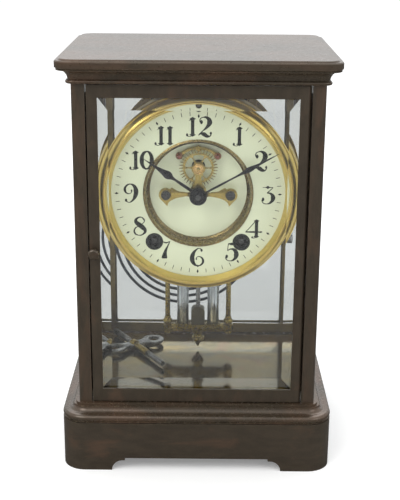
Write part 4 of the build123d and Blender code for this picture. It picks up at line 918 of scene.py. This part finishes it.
class CLOCK_OT_bezel(bpy.types.Operator):
    """Spun brass bezel, stepped recess ring and the dark dish behind."""

    bl_idname = "clock.bezel"
    bl_label = "Bezel and recess"

    def execute(self, context):
        """Spin the rings."""
        colours = context.scene.clock_colours
        outer = high("bezel").x
        y = DIAL_Y
        profile = [
            (outer - 1.5, y + 6.5), (outer - 0.35, y + 6.5), (outer - 0.3, y + 1.6), (outer - 0.05, y + 0.9),
            (outer, y + 0.2), (outer - 0.15, y - 0.5), (outer - 0.55, y - 0.95), (outer - 0.85, y - 0.85),
            (outer - 1.05, y - 1.0), (outer - 1.15, y - 1.6), (outer - 1.5, y - 2.6), (outer - 2.1, y - 3.6),
            (outer - 2.9, y - 4.4), (outer - 3.8, y - 4.95), (outer - 4.3, y - 5.1), (outer - 4.42, y - 4.9),
            (outer - 4.6, y - 4.92), (outer - 4.75, y - 5.3), (outer - 5.0, y - 5.55), (outer - 5.3, y - 5.5),
            (outer - 5.5, y - 5.2), (outer - 5.65, y - 4.9), (outer - 6.2, y - 3.5), (outer - 6.35, y - 3.45),
            (outer - 6.9, y - 1.4), (outer - 7.1, y - 0.8), (outer - 7.1, y - 0.05), (outer - 1.5, y - 0.05),
        ]
        bezel = lathe("bezel_spun", profile, DIAL, steps=192, closed=True, angle=28)
        gold = brass("bezel_brass", colours.brass, tone(colours.brass, 0.6), 0.34, DIAL, 0.08, 0.2, 0.15)
        settle(bezel, "case", gold, "polished_brass", "bezel")
        inner = low("recess_ring").x + high("recess_ring").x
        r = high("recess_ring").x - 3.6 - inner / 2
        depth = high("recess_ring").y
        profile = [
            (r + 3.6, y - 0.1), (r + 3.6, depth), (r, depth), (r, depth - 1.0), (r + 0.25, depth - 1.2),
            (r + 0.35, depth - 2.2), (r + 0.85, depth - 2.6), (r + 1.0, depth - 3.6), (r + 1.3, depth - 3.9),
            (r + 1.45, depth - 5.6), (r + 1.75, depth - 6.0), (r + 1.85, y + 0.9), (r + 2.1, y + 0.2),
            (r + 2.2, y - 0.45), (r + 2.45, y - 0.85), (r + 2.8, y - 0.95), (r + 3.1, y - 0.8), (r + 3.3, y - 0.3),
        ]
        ring = lathe("recess_spun", profile, DIAL, steps=192, closed=True, angle=28)
        dull = brass("recess_brass", tone(colours.brass_aged, 0.75), tone(colours.brass_aged, 0.3), 0.24, DIAL,
                     0.05, 0.3, 0.35)
        settle(ring, "case", dull, "polished_brass", "recess_ring")
        # The pan and the grommets get the near-black finish of the print.
        dress(ink("pan_near_black", colours), "dial_pan", "winding_grommets")
        return {"FINISHED"}


class CLOCK_OT_hands(bpy.types.Operator):
    """Blued hands and their black collet."""

    bl_idname = "clock.hands"
    bl_label = "Hands"

    def execute(self, context):
        """Cut the hands."""
        sizes = context.scene.clock_sizes
        colours = context.scene.clock_colours
        blue = steel("blued_steel", colours.blued, tone(colours.blued, 0.5), 0.28, 0.4, 0.8)
        w = sizes.hour_width / 2 / MM
        side = [(-1.15, 4.3), (-0.85, 12.0), (-0.85, 17.4), (-1.3, 18.6), (-w + 0.2, 20.0), (-w, 21.6),
                (-w + 0.5, 23.6), (-1.15, 26.8), (-0.72, 30.0), (-0.48, 33.6)]
        outline = [*side, (0, 38.6, 1), *mirrored(side)]
        bore = circle(0, 0, 2.4)
        y = centre("hour_hand").y
        turn = Matrix.Rotation(radians(304), 4, "Y")
        matrix = Matrix.Translation(Vector((DIAL.x, y, DIAL.z)) * MM) @ turn @ FRONT
        hand = plate("hour_hand_cut", [outline + arc(0, 0, 4.5, 72, -252, 14), bore], 0.8, 0.18, matrix)
        settle(hand, "hour_wheel", blue, "blued_steel", "hour_hand")
        w = sizes.minute_width / 2 / MM
        side = [(-0.75, 3.3), (-0.6, 15.0), (-0.5, 25.0), (-0.75, 28.4), (-w, 32.4), (-w + 0.1, 34.6),
                (-0.75, 39.0), (-0.5, 44.0), (-0.32, 48.5)]
        outline = [*side, (0, 53.0, 1), *mirrored(side)]
        y = centre("minute_hand").y
        turn = Matrix.Rotation(radians(61), 4, "Y")
        matrix = Matrix.Translation(Vector((DIAL.x, y, DIAL.z)) * MM) @ turn @ FRONT
        hand = plate("minute_hand_cut", [outline + arc(0, 0, 3.4, 72, -252, 14), circle(0, 0, 1.5)], 0.8, 0.16, matrix)
        settle(hand, "minute_arbor", blue, "blued_steel", "minute_hand")
        front = high("hand_collet").y
        profile = [(1.5, front), (5.1, front), (5.1, front - 0.45), (4.9, front - 0.75), (4.5, front - 0.85),
                   (4.35, front - 1.15), (4.0, front - 1.2), (3.75, front - 1.0), (3.5, front - 1.0),
                   (3.35, front - 1.3), (3.25, front - 2.0), (2.95, front - 2.35), (2.4, front - 2.5),
                   (2.2, front - 2.3), (1.9, front - 2.3), (1.75, front - 2.5), (1.5, front - 2.5)]
        collet = lathe("hand_collet_turned", profile, DIAL, steps=64, closed=True)
        settle(collet, "minute_arbor", blue, "blued_steel", "hand_collet")
        return {"FINISHED"}


# ---- visible escapement ----
class CLOCK_OT_escapement(bpy.types.Operator):
    """Escape wheel, anchor with its jewels, and the bridge in front of them."""

    bl_idname = "clock.escapement"
    bl_label = "Visible escapement"

    def execute(self, context):
        """Cut the escapement."""
        colours = context.scene.clock_colours
        gilt = brass("escapement_brass", tone(colours.brass, 0.5), tone(colours.brass_aged, 0.5), 0.2, None,
                     0.4, 0.2, 0.35)
        self.wheel(gilt)
        self.anchor(gilt)
        stone = gem(colours)
        pins = []
        at = centre("pallet_pins")
        reach = high("pallet_pins").x - 1.0
        front = low("pallet_pins").y
        back = high("pallet_pins").y
        for x in (-reach, reach):
            profile = [(0, front), (0.6, front + 0.1), (0.9, front + 0.35), (1.0, front + 0.8), (1.0, back), (0, back)]
            pins.append(lathe("pin", profile, (x, 0, at.z), steps=24))
        settle(join("pallet_stones", pins), "anchor", stone, "jewel", "pallet_pins")
        self.bridge(gilt)
        return {"FINISHED"}

    def wheel(self, gilt):
        """Escape wheel with hooked teeth and six crossings, on its arbor."""
        at = Vector((DIAL.x, 0, ESCAPE.z))
        front = -39.0
        teeth = []
        for n in range(36):
            step = 10 * n
            for r, turn in ((8.9, -3.6), (9.1, -1.6), (10.1, 0.2), (11.36, 1.6), (11.36, 2.3), (10.3, 2.8),
                            (9.2, 3.4)):
                teeth.append((*polar(r, step + turn), 1))
        loops = [teeth, circle(0, 0, 0.8)]
        for n in range(6):
            middle = 60 * n + 30
            loops.append(arc(0, 0, 7.8, middle + 23, middle - 23, 9) + arc(0, 0, 3.4, middle - 13, middle + 13, 4))
        matrix = Matrix.Translation(Vector((at.x, front + 0.55, at.z)) * MM) @ FRONT
        rim = plate("escape_wheel_cut", loops, 1.1, 0.14, matrix)
        hub = [(0, front - 2.9), (0.7, front - 2.9), (0.8, front - 2.7), (0.8, front - 0.75), (2.0, front - 0.75),
               (2.5, front - 0.5), (2.7, front), (2.7, front + 1.1), (1.3, front + 1.9), (0.8, front + 2.1),
               (0.8, 4.8), (0, 4.8)]
        arbor = lathe("arbor", hub, at, steps=32)
        leaf = block("leaf", (at.x - 0.32, -22, at.z + 1.2), (at.x + 0.32, -17, at.z + 2.0), 0.12)
        leaves = [leaf]
        for n in range(1, 8):
            centred = Matrix.Translation(at * MM)
            leaves.append(copy(leaf, centred @ Matrix.Rotation(radians(45 * n), 4, "Y") @ centred.inverted()))
        core = lathe("core", [(0.7, -22), (1.5, -22), (1.5, -17), (0.7, -17)], at, steps=24, closed=True)
        wheel = join("escape_wheel_cut", [rim, arbor, core, *leaves])
        settle(wheel, "escape_wheel", gilt, "polished_brass", "escape_wheel")

    def anchor(self, gilt):
        """Pallet anchor with round seats, its arbor, crutch and fork."""
        top = high("anchor").z - 2.6
        at = Vector((DIAL.x, 0, top))
        seat_z = centre("pallet_pins").z - top
        reach = high("pallet_pins").x - 1.0
        seats = []
        for side in (-1, 1):
            seats.append(circle(side * reach, seat_z, 1.0, 10)[::-1])
        right = [(0.7, 1.75), (2.3, 1.3), (5.8, 0.4), *arc(reach, seat_z, 2.1, 105, -165, 10), (7.7, -2.5),
                 (4.6, -0.95)]
        outline = [(0, 2.6, 1), *right, (0, -0.5), *mirrored(right)]
        matrix = Matrix.Translation(Vector((at.x, -36.5, at.z)) * MM) @ FRONT
        parts = [plate("arms", [outline, *seats], 1.0, 0.15, matrix)]
        cups = []
        for side in (-1, 1):
            ring = [(1.0, -37.0), (1.0, -37.75), (1.15, -37.8), (1.8, -37.75), (2.1, -37.4), (2.1, -37.0)]
            spot = (side * reach, 0, top + seat_z)
            cups.append(lathe("seat", ring, spot, steps=32, closed=True))
        arbor = [(0, -37.8), (0.7, -37.8), (0.8, -37.6), (0.8, -37.2), (1.6, -37.1), (1.6, -35.4), (0.8, -35.3),
                 (0.8, 8.0), (1.7, 8.0), (1.7, 9.6), (0, 9.6)]
        parts.append(lathe("arbor", arbor, at, steps=32))
        foot = top - 30.0
        parts.append(block("crutch", (-0.9, 8.0, foot - 0.6), (0.9, 9.6, top), 0.15))
        parts.append(lathe("pin", [(0, 8.2), (0.9, 8.2), (0.9, 21.0), (0, 21.0)], (0, 0, foot), steps=20))
        parts.append(block("fork", (-3.4, 20.5, foot - 0.8), (3.4, 22.4, foot + 0.8), 0.15))
        for side in (-1, 1):
            near, far = sorted((side * 1.52, side * 3.4))
            parts.append(block("prong", (near, 22.0, foot - 0.8), (far, 28.0, foot + 0.8), 0.15))
        settle(join("anchor_cut", parts), "anchor", gilt, "polished_brass", "anchor")
        copper = brass("seat_copper", (0.26, 0.12, 0.06), (0.12, 0.05, 0.025), 0.2, None, 0.6, 0.2, 0.4)
        settle(join("pallet_seats", cups), "anchor", copper, "polished_brass")

    def bridge(self, gilt):
        """Pierced brass bridge with two teardrop ears on posts."""
        y = low("escape_bridge").y
        ear_x = high("escape_bridge").x - 4.1
        rise = ESCAPE.z - DIAL.z
        ear = [(5.1, 0.9), (8.6, 0.75), (11.8, 1.25), (14.0, 2.45), (15.6, 3.2)]
        ear += arc(ear_x, -1.0, 4.1, 122, -42, 9)
        ear += [(20.6, -5.1), (18.1, -7.9, 1), (17.2, -5.6), (15.7, -4.3), (13.4, -3.2), (10.2, -2.4), (5.0, -2.1)]
        arm = [(2.0, 10.6), (1.9, 8.0), (2.6, 5.6), (4.3, 3.3)]
        outline = [*mirrored(arm), *arc(0, rise, 3.9, 235, -55, 11), *arm, *ear]
        outline += [*arc(0, 0, 5.0, -36, -144, 5), *mirrored(ear)]
        loops = [outline, circle(0, 0, 2.8), circle(0, rise, 0.9, 8)]
        for side in (-1, 1):
            loops.append(circle(side * ear_x, -1.0, 1.1, 8))
        matrix = Matrix.Translation(Vector((DIAL.x, y + 0.6, DIAL.z)) * MM) @ FRONT
        parts = [plate("bars", loops, 1.2, 0.16, matrix)]
        boss = [(0.9, y + 0.4), (0.9, y - 0.15), (1.2, y - 0.35), (1.9, y - 0.35), (2.2, y - 0.1), (2.5, y - 0.1),
                (2.8, y - 0.4), (3.1, y - 0.4), (3.3, y - 0.1), (3.3, y + 0.6)]
        turned = lathe("bridge_boss", boss, (DIAL.x, 0, ESCAPE.z), steps=40, closed=True)
        for side in (-1, 1):
            post = [(1.1, y + 0.9), (2.0, y + 0.9), (2.0, y + 8.6), (2.3, y + 9.0), (2.3, y + 9.6), (0, y + 9.6),
                    (0, y + 6.0), (1.1, y + 6.0)]
            parts.append(lathe("post", post, (side * ear_x, 0, DIAL.z - 1.0), steps=32, closed=True))
        settle(join("escape_bridge_cut", parts), "case", gilt, "polished_brass", "escape_bridge")
        bright = brass("boss_brass", (0.66, 0.46, 0.20), (0.30, 0.19, 0.08), 0.16, None, 0.5, 0.2, 0.3)
        settle(turned, "case", bright, "polished_brass")


# ---- pendulum ----
class CLOCK_OT_pendulum(bpy.types.Operator):
    """Two-jar mercury pendulum with turned brass columns and an acorn nut."""

    bl_idname = "clock.pendulum"
    bl_label = "Pendulum"

    def execute(self, context):
        """Turn and assemble the pendulum."""
        colours = context.scene.clock_colours
        old = brass("pendulum_brass", tone(colours.brass, 0.36), tone(colours.brass_aged, 0.3), 0.26, None,
                    0.1, 0.15, 0.7)
        y = PENDULUM.y
        reach = high("pendulum_frame").x - 3.4
        bar = 54.4
        top = 118.0
        parts = []
        for z0, z1 in ((bar, bar + 4.6), (top, top + 4.0)):
            parts.append(block("bar", (-reach, y - 2.6, z0), (reach, y + 2.6, z1), 0.5))
            parts.append(block("bead", (-reach + 2, y - 2.9, z0 + 1.5), (reach - 2, y + 2.9, z1 - 1.5), 0.3))
        column = [(0, bar - 2.4), (1.3, bar - 2.4), (1.9, bar - 2.1), (2.6, bar - 1.3), (2.4, bar - 0.6),
                  (1.9, bar - 0.2), (2.2, bar), (3.3, bar + 0.3), (3.4, bar + 1.2), (3.1, bar + 2.3), (3.4, bar + 3.4),
                  (3.3, bar + 4.4), (2.3, bar + 4.8), (2.6, bar + 5.3), (3.2, bar + 6.3), (3.1, bar + 7.5),
                  (2.5, bar + 8.4), (1.9, bar + 9.0), (2.2, bar + 9.5), (2.1, bar + 9.9), (1.7, bar + 10.3),
                  (1.62, bar + 30), (1.62, top - 1.6), (2.2, top - 1.2), (2.4, top - 0.6), (2.2, top), (3.3, top + 0.2),
                  (3.4, top + 2.0), (3.3, top + 3.8), (2.0, top + 4.0), (0, top + 4.0)]
        for x in (-reach, reach):
            parts.append(lathe("column", column, (x, y, 0), "Z", steps=40))
        for x in (-10.1, 10.1):
            for z0, z1 in ((bar + 4.4, bar + 5.6), (top - 1.0, top + 0.1)):
                ring = [(3.95, z0), (4.7, z0), (4.8, z0 + 0.3), (4.6, z1), (3.95, z1)]
                parts.append(lathe("cup", ring, (x, y, 0), "Z", steps=40, closed=True))
        settle(join("pendulum_frame_turned", parts), "pendulum", old, "polished_brass", "pendulum_frame")
        jars = []
        fluid = []
        foot = low("pendulum_jars").z
        head = high("pendulum_jars").z
        fill = high("mercury").z
        for x in (-10.1, 10.1):
            wall = [(0, foot), (3.4, foot), (3.8, foot + 0.3), (3.9, foot + 0.8), (3.9, head - 0.8), (3.7, head - 0.2),
                    (3.3, head), (0, head), (0, head - 1.0), (2.9, head - 1.2), (3.2, head - 1.8), (3.2, foot + 2.2),
                    (2.9, foot + 1.5), (0, foot + 1.3)]
            jars.append(lathe("jar", wall, (x, y, 0), "Z", steps=48))
            mass = [(0, foot + 1.5), (2.8, foot + 1.6), (3.12, foot + 2.3), (3.12, fill - 0.9), (2.7, fill - 0.3),
                    (1.6, fill), (0, fill)]
            fluid.append(lathe("mass", mass, (x, y, 0), "Z", steps=48))
        settle(join("jar_glass", jars), "pendulum", glass("jar_glass", (0.93, 0.95, 0.95), 0.05, 0.5),
               "bevelled_glass", "pendulum_jars")
        settle(join("mercury_fill", fluid), "pendulum", quicksilver(), "mercury", "mercury")
        nut = [(0, bar + 10.4), (1.2, bar + 10.4), (1.2, bar - 0.3), (3.3, bar - 0.3), (3.6, bar - 0.5),
               (3.6, bar - 1.1), (3.1, bar - 1.5), (2.7, bar - 2.0), (2.7, bar - 3.6), (3.1, bar - 4.2),
               (4.1, bar - 4.6), (4.4, bar - 5.2), (4.3, bar - 6.0), (3.7, bar - 7.0), (2.6, bar - 8.2),
               (1.6, bar - 9.3), (1.1, bar - 10.3), (0.8, bar - 11.3), (0, bar - 11.8)]
        acorn = lathe("rating_nut_turned", nut, (DIAL.x, y, 0), "Z", steps=56)
        settle(acorn, "rating_nut", old, "polished_brass", "rating_nut")
        socket = brass("socket_brass", (0.15, 0.135, 0.085), (0.07, 0.06, 0.04), 0.34, None, 0.15, 0.2, 0.5)
        dress(socket, "rod_socket")
        return {"FINISHED"}


# ---- gong and hammer ----
class CLOCK_OT_gong(bpy.types.Operator):
    """Coil gong of half turns, its stand and the hammer."""

    bl_idname = "clock.gong"
    bl_label = "Gong and hammer"

    def execute(self, context):
        """Wind the gong and turn the hammer."""
        sizes = context.scene.clock_sizes
        colours = context.scene.clock_colours
        wire = sizes.gong_wire / MM
        middle = Vector((GONG_X, centre("gong").y, GONG_Z))
        radius = GONG_RADIUS
        shift = 0.0
        rest()
        bpy.ops.mesh.primitive_circle_add(vertices=10, radius=wire * MM,
                                          location=(middle + Vector((radius, 0, 0))) * MM)
        coil = context.object
        coil.name = "gong_coil"
        bpy.ops.object.transform_apply(location=True, rotation=True, scale=True)
        edit(coil)
        for half in range(GONG_HALF_TURNS):
            hub = middle + Vector((shift, 0, 0))
            bpy.ops.mesh.spin(steps=30, angle=-pi, center=hub * MM, axis=(0, 1, 0))
            radius -= GONG_STEP
            shift += GONG_STEP if half % 2 else -GONG_STEP
        tail = Vector((-(radius + shift - 3.6), 0, 0)) * MM
        bpy.ops.mesh.extrude_region_move(TRANSFORM_OT_translate={"value": tail})
        tidy(coil, 60.0)
        blue = steel("gong_steel", colours.gong, tone(colours.gong, 0.45), 0.32, 0.25, 0.7)
        settle(coil, "case", blue, "gong_steel", "gong")
        dress(steel("gong_iron", tone(colours.iron, 2.2), colours.iron, 0.42, 0.3, 0.5), "gong_stand")
        x = HAMMER_X
        z = HAMMER_Z
        y = middle.y
        arbor = [(0, 3.2), (1.2, 3.2), (1.2, 5.0), (2.2, 5.0), (2.4, 5.3), (2.4, 7.8), (2.1, 8.0), (1.2, 8.1),
                 (1.2, y + 1.8), (1.0, y + 2.0), (0, y + 2.0)]
        parts = [lathe("arbor", arbor, (x, 0, z), steps=32)]
        stem = [(0, middle.z), (1.0, middle.z), (0.8, middle.z + 8), (0.8, z - 3), (1.0, z), (0, z)]
        parts.append(lathe("stem", stem, (x, y, 0), "Z", steps=24))
        head = [(0, 0), (2.6, 0.1), (3.1, 0.5), (3.2, 1.0), (3.2, 3.4), (2.9, 3.7), (2.9, 4.3), (3.2, 4.6),
                (3.2, 7.2), (2.9, 7.8), (2.2, 8.0), (0, 8.0)]
        knock = lathe("head", [(r, h) for r, h in head], (0, 0, 0), "Z", steps=40)
        turned = Matrix.Translation(Vector((HAMMER_FACE, y, middle.z)) * MM) @ Matrix.Rotation(pi / 2, 4, "Y")
        parts.append(place(knock, turned))
        bright = steel("hammer_steel", colours.steel, tone(colours.steel, 0.6), 0.3)
        settle(join("hammer_turned", parts), "hammer", bright, "bright_steel", "hammer")
        return {"FINISHED"}


# ---- winding key ----
class CLOCK_OT_key(bpy.types.Operator):
    """Double-ended winding key with pierced wings, lying on the floor of the case."""

    bl_idname = "clock.key"
    bl_label = "Winding key"

    def execute(self, context):
        """Make the key."""
        colours = context.scene.clock_colours
        shaft = [(0, 9.0), (1.15, 9.0), (1.15, 0.4), (1.3, 0.0), (1.65, 0.0), (1.88, 0.3), (1.88, 21.4), (1.6, 21.8),
                 (1.6, 46.8), (2.1, 47.2), (2.1, 65.6), (1.9, 66.0), (1.6, 66.0), (1.45, 65.6), (1.45, 57.0),
                 (0, 57.0)]
        boss = [(1.7, 36.2), (2.6, 36.2), (3.0, 36.6), (3.08, 37.4), (3.08, 39.8), (3.0, 40.6), (2.6, 41.0),
                (1.7, 41.0)]
        sleeve = [(1.65, 20.4), (2.1, 20.4), (2.3, 20.8), (2.3, 35.7), (2.1, 36.2), (1.65, 36.2)]
        stem = lathe("stem", shaft, (0, 0, 0), steps=48)
        right = [(3.2, 3.4), (6.6, 3.3), (8.6, 4.4), *arc(14.5, 0, 7.1, 130, -130, 13), (8.6, -4.4), (6.6, -3.3),
                 (3.2, -3.4)]
        loops = [right + mirrored(right)]
        for side in (-1, 1):
            loops.append(circle(side * 15.0, 0, 3.4, 14))
        matrix = Matrix.Translation(Vector((0, KEY_WINGS, 0)) * MM)
        wings = plate("wings", loops, 2.2, 0.5, matrix)
        key = join("winding_key_cut", [stem, wings])
        turnings = [lathe("part", part, (0, 0, 0), steps=48, closed=True) for part in (boss, sleeve)]
        brassy = join("key_sleeve", turnings)
        lie = Matrix.Translation(Vector(KEY_SPOT) * MM) @ Matrix.Rotation(radians(KEY_ANGLE), 4, "Z")
        grey = steel("key_steel", tone(colours.steel, 0.7), tone(colours.steel, 0.25), 0.3, 0.2)
        settle(place(key, lie), "key", grey, "bright_steel", "winding_key")
        worn = brass("key_brass", tone(colours.brass, 0.3), tone(colours.brass_aged, 0.35), 0.3, None, 0.2, 0.2, 0.6)
        settle(place(brassy, lie), "key", worn, "polished_brass")
        return {"FINISHED"}


# ---- movement and floor ----
class CLOCK_OT_movement(bpy.types.Operator):
    """Metals of the plates, wheels, barrels, springs and screws."""

    bl_idname = "clock.movement"
    bl_label = "Movement"

    def execute(self, context):
        """Finish the movement."""
        colours = context.scene.clock_colours
        plates = brass("plate_brass", tone(colours.brass, 0.8), colours.brass_aged, 0.3, None, 0.08, 0.25, 0.5)
        dress(plates, "front_plate", "back_plate", "suspension_cock")
        wheels = brass("wheel_brass", tone(colours.brass, 0.85), colours.brass_aged, 0.22, None, 0.3, 0.25, 0.3)
        dress(wheels, "hour_wheel", "minute_wheel", "intermediate_wheel", "third_wheel", "strike_wheel",
              "strike_barrel", "time_barrel", "plate_pillars", "spring_clicks", "fly")
        bright = steel("arbor_steel", colours.steel, tone(colours.steel, 0.55), 0.28)
        dress(bright, "mainsprings", "pendulum_rod")
        # Painted shade: these arbors get a much darker copy of the steel, standing in for the shade they sit in behind
        # the dial.
        dull = steel("winder_steel_painted_shade", tone(colours.steel, 0.25), tone(colours.steel, 0.08), 0.34, 0.5, 0.8)
        dress(dull, "centre_arbor", "strike_winding_arbor", "time_winding_arbor", "regulator_arbor")
        dark = steel("screw_steel", tone(colours.steel, 0.16), tone(colours.steel, 0.07), 0.3, 0.6, 0.9)
        dress(dark, "movement_screws", "pillar_screws", "movement_hanger")
        return {"FINISHED"}


class CLOCK_OT_floor(bpy.types.Operator):
    """Mottled mirror floor of the case."""

    bl_idname = "clock.floor"
    bl_label = "Mirror floor"

    def execute(self, context):
        """Finish the floor."""
        dress(floor_mirror(), "floor_plate")
        return {"FINISHED"}


# ---- sidebar ----
STEPS = ("stage", "case", "glass", "knobs", "dial", "bezel", "hands", "escapement", "pendulum", "gong", "key",
         "movement", "floor")


class CLOCK_PT_panel(bpy.types.Panel):
    """Lists the sizes, the colours and the steps."""

    bl_idname = "CLOCK_PT_panel"
    bl_label = "Mantel clock"
    bl_space_type = "VIEW_3D"
    bl_region_type = "UI"
    bl_category = "Clock"

    def draw(self, context):
        """Draw the panel."""
        for step in STEPS:
            self.layout.operator("clock." + step)
        for group in (context.scene.clock_sizes, context.scene.clock_colours):
            column = self.layout.column()
            for key in group.bl_rna.properties.keys()[2:]:
                column.prop(group, key)


CLASSES = (
    ClockSizes, ClockColours, CLOCK_OT_stage, CLOCK_OT_case, CLOCK_OT_glass, CLOCK_OT_knobs, CLOCK_OT_dial,
    CLOCK_OT_bezel, CLOCK_OT_hands, CLOCK_OT_escapement, CLOCK_OT_pendulum, CLOCK_OT_gong, CLOCK_OT_key,
    CLOCK_OT_movement, CLOCK_OT_floor, CLOCK_PT_panel,
)


def register():
    """Register the classes and their settings."""
    for cls in CLASSES:
        bpy.utils.register_class(cls)
    bpy.types.Scene.clock_sizes = bpy.props.PointerProperty(type=ClockSizes)
    bpy.types.Scene.clock_colours = bpy.props.PointerProperty(type=ClockColours)


def unregister():
    """Remove the settings and the classes."""
    del bpy.types.Scene.clock_colours
    del bpy.types.Scene.clock_sizes
    for cls in reversed(CLASSES):
        bpy.utils.unregister_class(cls)


def main():
    """Build everything."""
    register()
    rest()
    for step in STEPS:
        getattr(bpy.ops.clock, step)()
    rest()


if __name__ == "__main__":
    main()
